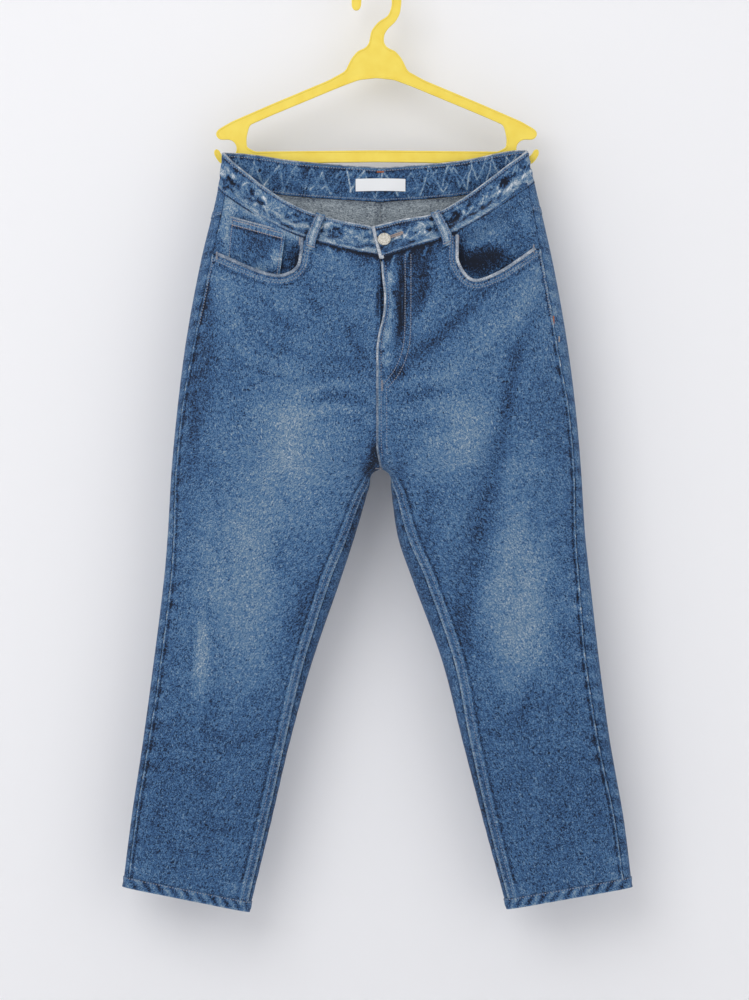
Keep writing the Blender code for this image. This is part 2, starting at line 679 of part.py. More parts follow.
def back_pocket(side, finish):
    """A patch pocket on the seat with a pointed foot."""
    sign = SIDES[side]
    p, q = np.meshgrid(np.linspace(-1, 1, 9), np.linspace(0, 1, 8))
    half = 71 - 9 * q
    top = -378.0 + 7 * p
    foot = -378.0 - 138.0 - 22 * (1 - np.abs(p))
    x = CENTRE_X + sign * (108.0 + half * p)
    z = top + (foot - top) * q
    return add_patch(f"back_pocket_{side}", "back", x, z, np.full(x.shape, GAP), PATCH_WALL, finish)


def fly_parts(cloth):
    """Behind the lapped edge: the left front's facing, the zip, and the shield on the right side."""
    top, foot = -350.0, -486.0
    down = np.linspace(0, 1, 12)
    z = top + (foot - top) * down[:, None]
    depth = -DENIM - 2 * GAP
    edge = smooth_at(FLY_EDGES, "flap", z) + 1.0
    right = edge + 33 - 24 * np.clip((down[:, None] - 0.72) / 0.28, 0, 1) ** 2
    p = np.linspace(0, 1, 5)[None, :]
    spread = edge + (right - edge) * p
    rows = np.broadcast_to(z, spread.shape)
    wall = 1.1
    add_patch("fly_facing", "front", spread, rows, np.full(spread.shape, depth - wall), wall, cloth)
    tape = 9.0 + 24.0 * (p - 0.5)
    tape = np.broadcast_to(tape, (12, 5))
    depth -= wall + 2 * GAP
    add_patch("zip", "front", tape, rows, np.full(tape.shape, depth - 1.0), 1.0, cloth)
    depth -= 1.0 + 2 * GAP
    shield = np.broadcast_to(-6.0 + 44.0 * p, (12, 5))
    add_patch("fly_shield", "front", shield, rows, np.full(shield.shape, depth - DENIM), DENIM, cloth)


def add_strip(name, path, across, finish, width=LOOP_WIDTH, wall=LOOP_WALL):
    """A flat strip that follows a path. Its wall grows away from the path, on its outer side."""
    path = np.array(path, float)
    across = np.array(across, float)
    across /= np.linalg.norm(across)
    run = np.gradient(path, axis=0)
    out = np.cross(run, across)
    out /= np.linalg.norm(out, axis=1, keepdims=True)
    edges = [path + across * width * s for s in (-0.5, 0.5)]
    grid = np.stack(edges, axis=1)
    return add_wall(name, grid + out[:, None, :] * wall, grid, finish)


def front_loop(side, finish):
    """A belt loop on the front: tacked at the waistband's top and just below its seam."""
    share, slant = FRONT_LOOPS[side]
    stride = LOOP_WIDTH / 2 / edges_of(side, band_at(side, share, "seam"))[1]
    columns = []
    for step in (-stride, 0, stride):
        low = band_frame(side, [share + step])[0][0]
        high = band_frame(side, [share + step - slant])[1][0]
        ahead = band_frame(side, [share + step + 0.02])[0][0] - low
        up = high - low
        out = np.cross(ahead, up)
        out *= -np.sign(out[1]) / np.linalg.norm(out)
        column = [lie_on("front", low[0], low[2] - drop, lift)[0] for drop, lift in LOOP_FOOT]
        column += [low + up * share_up + out * lift for share_up, lift in LOOP_RUN]
        columns.append(column)
    under = np.array(columns).transpose(1, 0, 2)
    run = np.gradient(under, axis=0)
    across = under[:, -1:] - under[:, :1]
    out = np.cross(run, np.broadcast_to(across, run.shape))
    out /= np.linalg.norm(out, axis=2, keepdims=True)
    out *= -np.sign(out[..., 1:2])
    return add_wall(f"belt_loop_front_{side}", under + out * LOOP_WALL, under, finish)


def side_loop(side, finish):
    """A belt loop behind the side edge. The hanger's lower hook goes through it and carries it."""
    x = HOOK_LOOP_X * SIDES[side]
    rest = HANGER_NOTCH_Z - math.sqrt(HANGER_NOTCH_R**2 - (LOOP_WIDTH / 2 + 2) ** 2) + GAP
    behind = HANGER_WALL / 2 + GAP
    path = [
        (x, -5.6, rest + 0.4),
        (x, -2.0, rest + 0.2),
        (x, behind - 0.5, rest),
        (x, behind + 0.5, rest - 1.5),
        (x, behind + 0.5, -227.0),
        (x, -0.5, -240.0),
        (x, -3.6, -250.0),
        (x, -3.6, -262.0),
    ]
    return add_strip(f"belt_loop_side_{side}", path, (-1, 0, 0), finish)


def centre_loop(finish):
    """The belt loop over the centre back seam."""
    low, high = (v[0] for v in band_frame("right", [2.0]))
    path = [
        lie_on("back", CENTRE_X, low[2] - 12.0, GAP + 0.2)[0],
        (CENTRE_X, low[1] + 0.9, low[2] - 4.0),
        (CENTRE_X, low[1] + 1.5, low[2] + 4.0),
        (CENTRE_X, low[1] + 2.8, low[2] + 14.0),
        (CENTRE_X, high[1] + 2.8, high[2] - 12.0),
        (CENTRE_X, high[1] + 1.2, high[2] - 4.0),
        (CENTRE_X, high[1] + 0.5, high[2] + 0.8),
    ]
    return add_strip("belt_loop_centre_back", path, (1, 0, 0), finish)


def label(finish):
    """A woven label on the inner face of the back waistband."""
    low, high = (v[0] for v in band_frame("right", [2.0]))
    x = np.linspace(-26.0, 36.0, 5)
    z = np.array([low[2] + 13.0, low[2] + 28.0])
    inside = low[1] - WAISTBAND_WALL - GAP - 0.4
    gx, gz = np.meshgrid(x, z)
    under = np.stack([gx, np.full(gx.shape, inside), gz], axis=-1)
    return add_wall("label", under - np.array([0, 0.6, 0]), under, finish)


def button(finish):
    """A shank button: a domed cap with a rim, turned about an axis square to the waistband."""
    side, share, height = BUTTON_PLACE
    low, high = (v[0] for v in band_frame(side, [share]))
    ahead = band_frame(side, [share + 0.03])[0][0]
    up = (high - low) / np.linalg.norm(high - low)
    out = np.cross(ahead - low, up)
    out /= np.linalg.norm(out)
    out *= -np.sign(out[1])
    seat = low + (high - low) * height - out * BUTTON_SINK
    profile = [
        (0.0, 2 * GAP), (4.2, 2 * GAP), (4.2, 1.4), (7.6, 1.6), (8.3, 2.2), (8.3, 3.0),
        (7.7, 3.7), (6.6, 3.8), (5.4, 3.4), (0.0, 3.1),
    ]
    made = bmesh.new()
    verts = [made.verts.new((r * MM, 0, h * MM)) for r, h in profile]
    edges = [made.edges.new(pair) for pair in zip(verts[:-1], verts[1:])]
    bmesh.ops.spin(
        made, geom=verts + edges, axis=(0, 0, 1), cent=(0, 0, 0), steps=20, angle=math.tau, use_merge=True,
    )
    bmesh.ops.remove_doubles(made, verts=made.verts, dist=0.01 * MM)
    bmesh.ops.recalc_face_normals(made, faces=made.faces)
    mesh = bpy.data.meshes.new("button")
    made.to_mesh(mesh)
    made.free()
    mesh.materials.append(finish)
    mesh.shade_smooth()
    mesh.set_sharp_from_angle(angle=math.radians(40))
    obj = bpy.data.objects.new("button", mesh)
    obj.location = Vector(seat) * MM
    obj.rotation_euler = Vector(out).to_track_quat("Z", "Y").to_euler()
    bpy.context.scene.collection.objects.link(obj)
    return obj


def arc(cx, cz, radius, start, end, count):
    """Points along an arc, with its angles in degrees from +X."""
    angles = np.radians(np.linspace(start, end, count))
    return [(cx + radius * math.cos(a), cz + radius * math.sin(a)) for a in angles]


def hanger_outline():
    """The hanger's outer edge in the front view, from the hook's tip round and back to it."""
    hook_z = -HOOK_RADIUS + HOOK_WIDTH / 2
    outside, inside = HOOK_RADIUS + HOOK_WIDTH / 2, HOOK_RADIUS - HOOK_WIDTH / 2
    right_side = [
        (29.4, -34.0), (24.0, -44.0), (15.0, -52.0), (9.5, -60.0), (9.0, -70.0), (13.0, -76.5),
        (24.0, -81.0), (32.0, -91.0), (39.0, -106.0), (60.0, -117.5), (128.0, -146.0), (181.0, -169.0),
        (199.0, -179.5), (201.5, -185.5), (197.0, -191.5), (190.5, -191.8),
    ]
    turn = arc(HANGER_NOTCH_X, HANGER_NOTCH_Z, HANGER_NOTCH_R, 100, 276, 12)
    lower_hook = [
        (194.0, -210.5), (197.0, -203.5), (202.5, -203.0), (203.5, -209.5), (197.0, -220.0),
        (186.0, -225.0), (165.0, -224.2),
    ]
    half = right_side + turn + lower_hook
    bottom = [(60.0, -220.4), (0.0, -219.6)]
    right_half = half + bottom
    left_side = [(-x, z) for x, z in reversed(right_side[4:] + turn + lower_hook + bottom[:-1])]
    left_neck = [(-8.6, -66.0), (-6.5, -55.0), (2.0, -44.5), (14.5, -37.0), (inside - 0.5, -26.0)]
    tip = arc(0, hook_z, inside, 0, 190, 17)
    cap = arc(-HOOK_RADIUS, hook_z - 5.5, HOOK_WIDTH / 2, 0, -180, 6)
    back = arc(0, hook_z, outside, 190, 0, 19)
    return right_half + left_side + left_neck + tip + cap + back


def hanger_window():
    """The open triangle between the arms and the bar."""
    right = [
        (0.0, -114.5), (22.0, -117.0), (45.0, -125.5), (128.0, -160.0), (158.0, -173.0),
        (160.5, -180.0), (162.5, -190.0), (162.0, -201.0), (152.0, -206.5), (60.0, -205.6), (0.0, -205.0),
    ]
    return right + [(-x, z) for x, z in reversed(right[1:-1])]


def add_plate(name, loops, wall, offset=0.0, bevel=0.0):
    """A flat plate cut to the given loops, the first of them its outside, standing in the XZ plane."""
    curve = bpy.data.curves.new(name, "CURVE")
    curve.dimensions = "2D"
    curve.fill_mode = "BOTH"
    curve.extrude = (wall / 2 - bevel) * MM
    curve.bevel_depth = bevel * MM
    curve.bevel_resolution = 0
    curve.offset = offset * MM
    for loop in loops:
        spline = curve.splines.new("POLY")
        spline.points.add(len(loop) - 1)
        for point, (x, z) in zip(spline.points, loop):
            point.co = (x * MM, z * MM, 0, 1)
        spline.use_cyclic_u = True
    obj = bpy.data.objects.new(name, curve)
    obj.rotation_euler = (math.radians(90), 0, 0)
    bpy.context.scene.collection.objects.link(obj)
    return obj


def hanger(finish):
    """A moulded hanger, with its hook, arms, bar and notched ends in one piece."""
    plate = add_plate("hanger", [hanger_outline(), hanger_window()], HANGER_WALL, offset=-1.0, bevel=1.0)
    plate.data.materials.append(finish)
    return plate


def main():
    for obj in list(bpy.data.objects):
        bpy.data.objects.remove(obj)
    denim = material("denim", FADED, 0.88)
    deep = material("denim_dark", INDIGO, 0.88)
    pale = material("denim_pale", PALE, 0.88)
    plastic = material("hanger_plastic", YELLOW, 0.38)
    metal = material("button_metal", BRASS, 0.42, 1.0)
    woven = material("label_satin", WHITE, 0.7)

    for side in SIDES:
        panel = front_panel(side, denim)
        cut_pocket_mouth(panel, side)
        back_panel(side, denim)
        yoke(side, denim)
        hem(side, denim)
        pocket_facing(side, deep)
        back_pocket(side, denim)
        side_loop(side, pale)
        front_loop(side, pale)
    centre_loop(pale)
    coin_pocket(deep)
    fly_parts(deep)
    outer, out = band_grid(waistband_stations())
    add_wall("waistband", outer, outer - out * WAISTBAND_WALL, denim)
    label(woven)
    button(metal)
    hanger(plastic)


main()
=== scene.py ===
# %% [markdown]
# # Jeans on a hanger
# A pair of washed blue jeans hangs by its two side-back belt loops from a one-piece moulded hanger.
# Every length below is in millimetres, and is turned into metres only when a mesh is made. X runs to the
# viewer's right, Y away from the viewer and Z up, from the inside of the hook. Right and left are the
# wearer's, so the right leg is at -X.

import math
from collections import defaultdict, namedtuple

import bmesh
import bpy
import numpy as np
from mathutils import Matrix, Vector


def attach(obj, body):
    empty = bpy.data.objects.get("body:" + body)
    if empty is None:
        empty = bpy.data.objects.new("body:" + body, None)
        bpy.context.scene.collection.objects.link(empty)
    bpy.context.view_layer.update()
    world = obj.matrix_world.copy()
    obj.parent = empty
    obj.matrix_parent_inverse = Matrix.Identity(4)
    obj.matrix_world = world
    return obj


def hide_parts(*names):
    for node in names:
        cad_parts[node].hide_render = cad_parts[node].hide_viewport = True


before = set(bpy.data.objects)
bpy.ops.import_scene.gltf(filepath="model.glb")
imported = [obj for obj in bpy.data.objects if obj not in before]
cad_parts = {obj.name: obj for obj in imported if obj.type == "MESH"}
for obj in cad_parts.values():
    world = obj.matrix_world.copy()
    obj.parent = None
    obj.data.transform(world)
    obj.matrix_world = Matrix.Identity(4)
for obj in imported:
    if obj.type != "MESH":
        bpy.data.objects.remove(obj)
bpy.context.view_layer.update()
MM = 0.001
print("frame loaded, solids:", len(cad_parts))

# %% [markdown]
# ## Camera
# The jeans are seen straight from the front by a long lens five metres away, level with the middle of
# the garment, so that the edges stay parallel and nothing looks stretched.

# %% Camera
EYE_X, EYE_Y, EYE_Z = -2.5, -5000.0, -641.9
camera = bpy.data.objects.new("camera", bpy.data.cameras.new("camera"))
camera.data.sensor_fit = "AUTO"
camera.data.sensor_width = 36
camera.data.lens = 144
camera.location = (EYE_X * MM, EYE_Y * MM, EYE_Z * MM)
camera.rotation_euler = (math.radians(90), 0, 0)
bpy.context.scene.collection.objects.link(camera)
bpy.context.scene.camera = camera
bpy.context.scene.view_settings.view_transform = "Standard"
print("camera at", [round(v, 3) for v in camera.location])

# %% [markdown]
# ## The sizes of the garment
# A pattern cutter works from a few widths measured down the leg. These tables hold them: how far each
# edge and seam is from the centre line, how deep the hanging garment is, and where the waistband runs.
# They are the same as those of the solids, so the cloth below lies on the solids' form.

# %% Sizes
GAP = 0.3
HALF_GAP = GAP / 2
DENIM = 1.6
WAISTBAND_WALL = 3.0
HEM_WALL = 3.2
HEM_LIFT = 0.5
PATCH_WALL = 1.3
LOOP_WALL = 1.8
LOOP_WIDTH = 12.5
CENTRE_X = 5.0
CROTCH = -603.8
CROTCH_RADIUS = 12.5
CROTCH_REACH = 62.0
EDGE_RADIUS = 7.0
LEAST_POWER = 2.6
BEYOND_CENTRE = 12.0
SIDES = {"right": -1, "left": 1}

Section = namedtuple("Section", "height outer inner side_seam inseam")
# Widths are from the centre line; the seams are set in from the outer and inner edges of the leg.
SECTIONS = {
    "right": (
        Section(-208, 197.0, 12.5, 10.0, 0.0),
        Section(-254, 202.5, 12.5, 11.0, 0.0),
        Section(-342, 223.0, 12.5, 14.0, 0.0),
        Section(-442, 241.5, 12.5, 11.5, 0.0),
        Section(-542, 254.0, 12.5, 6.5, 0.0),
        Section(-616, 260.6, 12.5, 6.5, 3.0),
        Section(-642, 262.0, 18.8, 7.0, 6.0),
        Section(-692, 265.0, 33.5, 8.5, 9.5),
        Section(-742, 269.5, 50.0, 9.5, 13.0),
        Section(-842, 282.0, 84.5, 9.5, 10.5),
        Section(-942, 295.5, 112.5, 8.0, 6.5),
        Section(-1042, 310.5, 136.0, 6.5, 5.5),
        Section(-1160, 325.0, 165.0, 6.5, 4.5),
    ),
    "left": (
        Section(-208, 183.5, 12.5, 9.0, 0.0),
        Section(-254, 193.5, 12.5, 10.0, 0.0),
        Section(-342, 213.5, 12.5, 13.5, 0.0),
        Section(-442, 231.5, 12.5, 14.5, 0.0),
        Section(-542, 244.0, 12.5, 9.5, 0.0),
        Section(-616, 250.1, 12.5, 9.8, 3.0),
        Section(-642, 251.5, 14.6, 11.0, 7.0),
        Section(-692, 255.0, 22.6, 13.0, 13.0),
        Section(-742, 260.5, 40.0, 14.5, 17.0),
        Section(-842, 272.0, 76.5, 17.5, 15.0),
        Section(-942, 285.5, 102.0, 15.5, 9.5),
        Section(-1042, 303.0, 128.0, 12.0, 6.0),
        Section(-1160, 317.0, 160.0, 10.0, 4.5),
    ),
}

Depth = namedtuple("Depth", "height middle front back reach")
# Where the side edges lie, how far the front and the back stand off from them, and how far in from a
# side edge they reach that.
DEPTHS = (
    Depth(-208, -17.0, 16.0, 10.0, 140.0),
    Depth(-254, -18.0, 26.0, 11.0, 150.0),
    Depth(-342, -23.0, 36.0, 19.0, 165.0),
    Depth(-442, -27.0, 38.0, 30.0, 165.0),
    Depth(-542, -29.0, 33.0, 30.0, 140.0),
    Depth(-642, -29.0, 27.0, 25.0, 115.0),
    Depth(-742, -28.0, 23.0, 22.0, 100.0),
    Depth(-842, -27.0, 20.0, 19.0, 90.0),
    Depth(-942, -26.0, 17.5, 16.5, 80.0),
    Depth(-1042, -25.0, 15.0, 14.5, 75.0),
    Depth(-1160, -24.5, 13.0, 12.5, 70.0),
)
FlyEdge = namedtuple("FlyEdge", "height flap under")
# The lapped edge of the left front, which bows open half-way down, and the right front's edge by it.
FLY_EDGES = (
    FlyEdge(-330, 5.6, 4.9),
    FlyEdge(-362, 7.6, 4.9),
    FlyEdge(-392, 10.4, 4.9),
    FlyEdge(-414, 9.0, 4.9),
    FlyEdge(-436, 3.6, 2.9),
    FlyEdge(-460, 0.8, 0.1),
    FlyEdge(-575, 0.8, 0.1),
    FlyEdge(-598, 4.6, 4.3),
)
Crease = namedtuple("Crease", "face x0 z0 x1 z1 reach depth")
# Soft troughs (depth below zero) and ridges, each from one point to another and as wide as its reach.
CREASES = (
    Crease("front", 155, -567, 108, -770, 19, -4.5),
    Crease("front", 172, -720, 176, -820, 14, -1.8),
    Crease("front", -211, -715, -203, -880, 14, -2.2),
    Crease("front", -125, -690, -160, -830, 16, -1.6),
    Crease("front", -40, -530, -190, -475, 16, -1.8),
    Crease("front", 55, -535, 190, -480, 16, -1.8),
    Crease("back", -55, -612, -200, -585, 18, -4.0),
    Crease("back", 60, -616, 205, -580, 18, -4.2),
    Crease("back", -150, -700, -175, -860, 18, -3.0),
    Crease("back", 150, -690, 178, -850, 18, -3.2),
)
BandStation = namedtuple("BandStation", "share seam top_in top_up lean")
# The waistband, half by half: share 0 is the centre front, 1 the side edge and 2 the centre back.
# The seam is its lower edge's height; the other columns say where the upper edge is from there.
WAISTBAND = {
    "right": (
        BandStation(-0.20, -342.5, 6.0, 37.0, 14.0),
        BandStation(0.00, -340.0, 7.0, 36.0, 16.0),
        BandStation(0.24, -329.0, 9.5, 32.5, 20.0),
        BandStation(0.50, -311.0, 13.5, 31.0, 22.0),
        BandStation(0.76, -283.0, 17.5, 32.0, 17.0),
        BandStation(0.93, -262.0, 13.5, 38.0, 8.0),
        BandStation(1.00, -254.5, 5.6, 44.5, 1.0),
        BandStation(1.12, -255.0, 3.0, 44.5, 0.0),
        BandStation(1.50, -263.5, 1.0, 43.0, -1.0),
        BandStation(2.00, -270.5, 0.0, 42.0, -1.0),
    ),
    "left": (
        BandStation(-0.20, -346.5, 11.0, 39.0, 13.0),
        BandStation(0.00, -342.5, 9.5, 39.0, 14.0),
        BandStation(0.14, -332.0, 6.5, 37.0, 17.0),
        BandStation(0.34, -319.0, 8.5, 32.0, 21.0),
        BandStation(0.53, -300.0, 13.5, 31.0, 22.0),
        BandStation(0.77, -271.5, 16.5, 33.0, 17.0),
        BandStation(0.91, -255.0, 14.0, 36.0, 9.0),
        BandStation(1.00, -247.0, 8.5, 39.0, 1.0),
        BandStation(1.12, -249.0, 4.0, 42.0, 0.0),
        BandStation(1.50, -262.5, 1.0, 42.5, -1.0),
        BandStation(2.00, -270.5, 0.0, 42.0, -1.0),
    ),
}
BAND_GROOVE = 3.0
OVERLAP = 34.0
UNDERLAP_DROP = WAISTBAND_WALL + GAP

# Heights of each leg's bottom edge at the inseam and at the side seam, and the hem's depth
HEM_ENDS = {"right": (-1154.0, -1122.5), "left": (-1150.5, -1123.0)}
HEM_DEPTH = 13.0
YOKE_AT_CENTRE = -346.0
YOKE_AT_SIDE = {"right": -287.0, "left": -281.0}

# Pocket mouths, from the side seam round to the waistband, as points in the front view
POCKET_MOUTHS = {
    "right": (
        (-199.9, -333.8), (-176.9, -343.8), (-155.6, -353.1), (-131.9, -360.6),
        (-114.4, -360.6), (-99.4, -351.4), (-94.6, -335.4), (-93.1, -314.4),
    ),
    "left": (
        (197.9, -327.5), (179.4, -340.6), (154.4, -356.9), (127.6, -367.6),
        (112.5, -362.6), (101.6, -344.5), (100.6, -328.0), (100.6, -311.0),
    ),
}
# How far the pocket facings sink behind the front panels, the height of their foot, and how much more each
# sags
FACING_SINK = 5.0
FACING_FOOT = -382.0
FACING_SAG = {"right": 2.5, "left": 6.0}

# Where each front belt loop's foot is on the waistband's scale, and how far its top leans to the centre
FRONT_LOOPS = {"right": (0.378, 0.0), "left": (0.376, 0.024)}
# A front belt loop's path: how far below the seam, or up the waistband as a share, and how far out
LOOP_FOOT = ((12.0, 0.9), (5.0, 1.2))
LOOP_RUN = ((0.04, 2.0), (0.25, 2.6), (0.50, 2.8), (0.75, 2.4), (0.93, 1.2), (1.03, 0.8))

# The hanger, measured from the inside of its hook
HANGER_WALL = 5.0
HANGER_NOTCH_X = 186.5
HANGER_NOTCH_Z = -203.0
HANGER_NOTCH_R = 12.0
HOOK_LOOP_X = 184.5
HOOK_RADIUS = 25.3
HOOK_WIDTH = 12.0

# %% [markdown]
# ## The form of the hanging garment
# A body and two legs hang flat with rounded sides. The section at any height rises from a folded edge,
# is round at first and then flat, and the seams are found by their lengths along that section.

# %% The form
def smooth_at(table, column, at, key="height"):
    """Reads one column of a table at any place between its rows, along a smooth curve."""
    xs = np.array([getattr(row, key) for row in table], float)
    ys = np.array([getattr(row, column) for row in table], float)
    if xs[0] > xs[-1]:
        xs, ys = xs[::-1], ys[::-1]
    rises = np.diff(ys) / np.diff(xs)
    slopes = np.concatenate([[rises[0]], (rises[1:] + rises[:-1]) / 2, [rises[-1]]])
    turns = np.concatenate([[1], rises[1:] * rises[:-1], [1]])
    slopes = np.where(turns <= 0, 0, slopes)
    at = np.clip(np.asarray(at, float), xs[0], xs[-1])
    i = np.clip(np.searchsorted(xs, at) - 1, 0, len(xs) - 2)
    step = xs[i + 1] - xs[i]
    t = (at - xs[i]) / step
    return (
        (1 + 2 * t) * (1 - t) ** 2 * ys[i]
        + t * (1 - t) ** 2 * step * slopes[i]
        + t * t * (3 - 2 * t) * ys[i + 1]
        + t * t * (t - 1) * step * slopes[i + 1]
    )


def smooth_line(points, count):
    """Evenly spaced points on a smooth curve through the given ones."""
    points = np.array(points, float)
    ahead = np.concatenate([points[1:], 2 * points[-1:] - points[-2:-1]])
    behind = np.concatenate([2 * points[:1] - points[1:2], points[:-1]])
    slopes = (ahead - behind) / 2
    fine = []
    for a, b, sa, sb in zip(points[:-1], points[1:], slopes[:-1], slopes[1:]):
        t = np.linspace(0, 1, 24, endpoint=False)[:, None]
        fine.append(
            (1 + 2 * t) * (1 - t) ** 2 * a + t * (1 - t) ** 2 * sa
            + t * t * (3 - 2 * t) * b + t * t * (t - 1) * sb
        )
    fine = np.concatenate([*fine, points[-1:]])
    along = np.concatenate([[0], np.cumsum(np.linalg.norm(np.diff(fine, axis=0), axis=1))])
    at = np.linspace(0, along[-1], count)
    return np.stack([np.interp(at, along, fine[:, k]) for k in range(fine.shape[1])], axis=1)


def edges_of(side, z):
    """The leg's inner and outer edge at a height. Above the crotch the inner one is past the centre."""
    outer = smooth_at(SECTIONS[side], "outer", z)
    down = z - (CROTCH - CROTCH_RADIUS)
    arch = np.sqrt(np.clip(CROTCH_RADIUS**2 - down**2, 0, None))
    leg = np.where(down > 0, arch, smooth_at(SECTIONS[side], "inner", z))
    above = np.clip(3 * (z - CROTCH), 0, BEYOND_CENTRE)
    return np.where(z < CROTCH, leg, -above), outer


def roll(distance, reach, depth):
    """How the cloth rises from a folded edge, as a share of its depth: round at first, then flat."""
    power = np.maximum(LEAST_POWER, 2 * EDGE_RADIUS * reach / depth**2)
    return np.sqrt(1 - (1 - np.clip(distance / reach, 0, 1)) ** power)


def rise_at(side, width, z, face):
    """The share of its full depth that a face has at a width and a height."""
    inner, outer = edges_of(side, z)
    depth = smooth_at(DEPTHS, face, z)
    down = z - (CROTCH - CROTCH_RADIUS)
    from_leg = width - inner
    from_arch = np.hypot(width, down) - CROTCH_RADIUS
    from_inner = np.where(down > 0, from_arch, from_leg)
    outer_side = roll(outer - width, smooth_at(DEPTHS, "reach", z), depth)
    return outer_side * roll(from_inner, CROTCH_REACH, depth)


def crease_at(face, x, z):
    """How far the cloth stands out at a point of the front or the back, from the table of creases."""
    out = np.zeros(np.broadcast(x, z).shape)
    for c in CREASES:
        if c.face != face:
            continue
        run = np.array([c.x1 - c.x0, c.z1 - c.z0], float)
        length = np.linalg.norm(run)
        run /= length
        along = ((x - c.x0) * run[0] + (z - c.z0) * run[1]) / length
        across = (x - c.x0) * run[1] - (z - c.z0) * run[0]
        ends = np.clip(np.minimum(along, 1 - along) / 0.3 + 0.5, 0, 1)
        out = out + c.depth * np.exp(-((across / c.reach) ** 2)) * ends * ends * (3 - 2 * ends)
    return out


def face_y(side, width, z, face):
    """The y of the cloth's outer surface at a width from the centre line and a height."""
    rise = rise_at(side, width, z, face)
    out = smooth_at(DEPTHS, face, z) + crease_at(face, CENTRE_X + SIDES[side] * width, z)
    middle = smooth_at(DEPTHS, "middle", z)
    return middle - out * rise if face == "front" else middle + out * rise


def ring(side, z, samples=72):
    """The section at each height, from its inner end along the front, round the outer edge, home along
    the back and on along the front: widths, y values and lengths, which are counted from the outer edge."""
    z = np.asarray(z, float).reshape(-1, 1)
    inner, outer = edges_of(side, z)
    swing = (1 - np.cos(np.linspace(0, math.pi, samples))) / 2
    width = inner + (outer - inner) * swing
    front, back = (face_y(side, width, z, face) for face in ("front", "back"))
    w = np.concatenate([width, width[:, -2::-1], width[:, 1:]], axis=1)
    y = np.concatenate([front, back[:, -2::-1], front[:, 1:]], axis=1)
    steps = np.hypot(np.diff(w, axis=1), np.diff(y, axis=1))
    along = np.concatenate([np.zeros((len(z), 1)), np.cumsum(steps, axis=1)], axis=1)
    return w, y, along - along[:, samples - 1: samples], samples


def per_row(at, xs, ys):
    return np.array([np.interp(a, x, y) for a, x, y in zip(at, xs, ys)])


def fly_edge(side, z):
    """How far past the centre line a front panel's edge lies, by the lapped fly seam."""
    column = "flap" if side == "left" else "under"
    place = smooth_at(FLY_EDGES, column, z)
    place = np.where(z < CROTCH + 6, CENTRE_X, place)
    return SIDES[side] * (place - CENTRE_X)


def marks(side, z):
    """Lengths along the section at which its seams lie: front centre or inseam, side seam, side edge,
    back centre or inseam."""
    w, y, along, samples = ring(side, z)
    z = np.asarray(z, float)
    inner, outer = edges_of(side, z)
    above = z >= CROTCH
    seam = smooth_at(SECTIONS[side], "inseam", z) * np.clip((CROTCH - z) / 30, 0, 1)
    start = np.where(above, np.maximum(fly_edge(side, z), inner), inner + seam)
    front = slice(0, samples)
    back = slice(samples - 1, 2 * samples - 1)
    first = per_row(start, w[:, front], along[:, front])
    side_at = outer - smooth_at(SECTIONS[side], "side_seam", z)
    side_seam = per_row(side_at, w[:, front], along[:, front])
    home = per_row(np.maximum(0, inner), w[:, back][:, ::-1], along[:, back][:, ::-1])
    last = np.where(above, home, along[:, 2 * samples - 2] + first - along[:, 0])
    return {"first": first, "side_seam": side_seam, "edge": np.zeros(len(z)), "last": last}


def band_share(side, z, along):
    """Where a point of the body is on the waistband's own scale: 0 centre front, 1 edge, 2 centre back."""
    w, _, lengths, samples = ring(side, z)
    at = marks(side, z)
    centre = per_row(np.zeros(len(z)), w[:, :samples], lengths[:, :samples])
    front = (along - centre) / (at["edge"] - centre)
    back = 1 + (along - at["edge"]) / (at["last"] - at["edge"])
    return np.where(along < at["edge"], front, back)


def length_at(side, z, width):
    """The length along the section at which its front has this width."""
    w, _, lengths, samples = ring(side, z)
    return per_row(width, w[:, :samples], lengths[:, :samples])


def surface(side, z, along):
    """Points of the outer surface, for heights and lengths along the section there."""
    w, y, lengths, _ = ring(side, z)
    width = per_row(along, lengths, w)
    depth = per_row(along, lengths, y)
    return np.stack([CENTRE_X + SIDES[side] * width, depth, z], axis=1)


def along_panel(side, z, share, start, end):
    at = marks(side, z)
    begin, finish = at[start] + HALF_GAP, at[end] - HALF_GAP
    return begin + (finish - begin) * share


def waist_line(side, share, start, end):
    """Heights at which a panel's columns meet the waistband's lower edge."""
    z = np.full(share.shape, band_at(side, 0.5, "seam"))
    for _ in range(6):
        z = band_at(side, band_share(side, z, along_panel(side, z, share, start, end)), "seam")
    return z - GAP


def hem_height(side, width, z):
    """The height of the leg's bottom edge at a width from the centre line."""
    inner, outer = edges_of(side, z)
    inner_end, outer_end = HEM_ENDS[side]
    return inner_end + (outer_end - inner_end) * np.clip((width - inner) / (outer - inner), 0, 1)


def hem_line(side, share, start, end):
    """Heights at which a panel's columns meet the top of the hem."""
    z = np.full(share.shape, HEM_ENDS[side][0] + HEM_DEPTH)
    for _ in range(4):
        points = surface(side, z, along_panel(side, z, share, start, end))
        z = hem_height(side, np.abs(points[:, 0] - CENTRE_X), z) + HEM_DEPTH
    return z + GAP


def band_at(side, share, column):
    return smooth_at(WAISTBAND[side], column, share, key="share")


def band_frame(side, share):
    """The waistband's lower and upper edge at each share, on its outer face."""
    share = np.asarray(share, float)
    z = band_at(side, share, "seam")
    at = marks(side, z)
    w, _, lengths, samples = ring(side, z)
    centre = per_row(np.zeros(len(z)), w[:, :samples], lengths[:, :samples])
    front = centre + (at["edge"] - centre) * share
    back = at["edge"] + (at["last"] - at["edge"]) * (share - 1)
    low = surface(side, z, np.where(share <= 1, front, back))
    high = low.copy()
    high[:, 0] -= SIDES[side] * band_at(side, share, "top_in")
    high[:, 1] += band_at(side, share, "lean")
    high[:, 2] += band_at(side, share, "top_up")
    return low, high


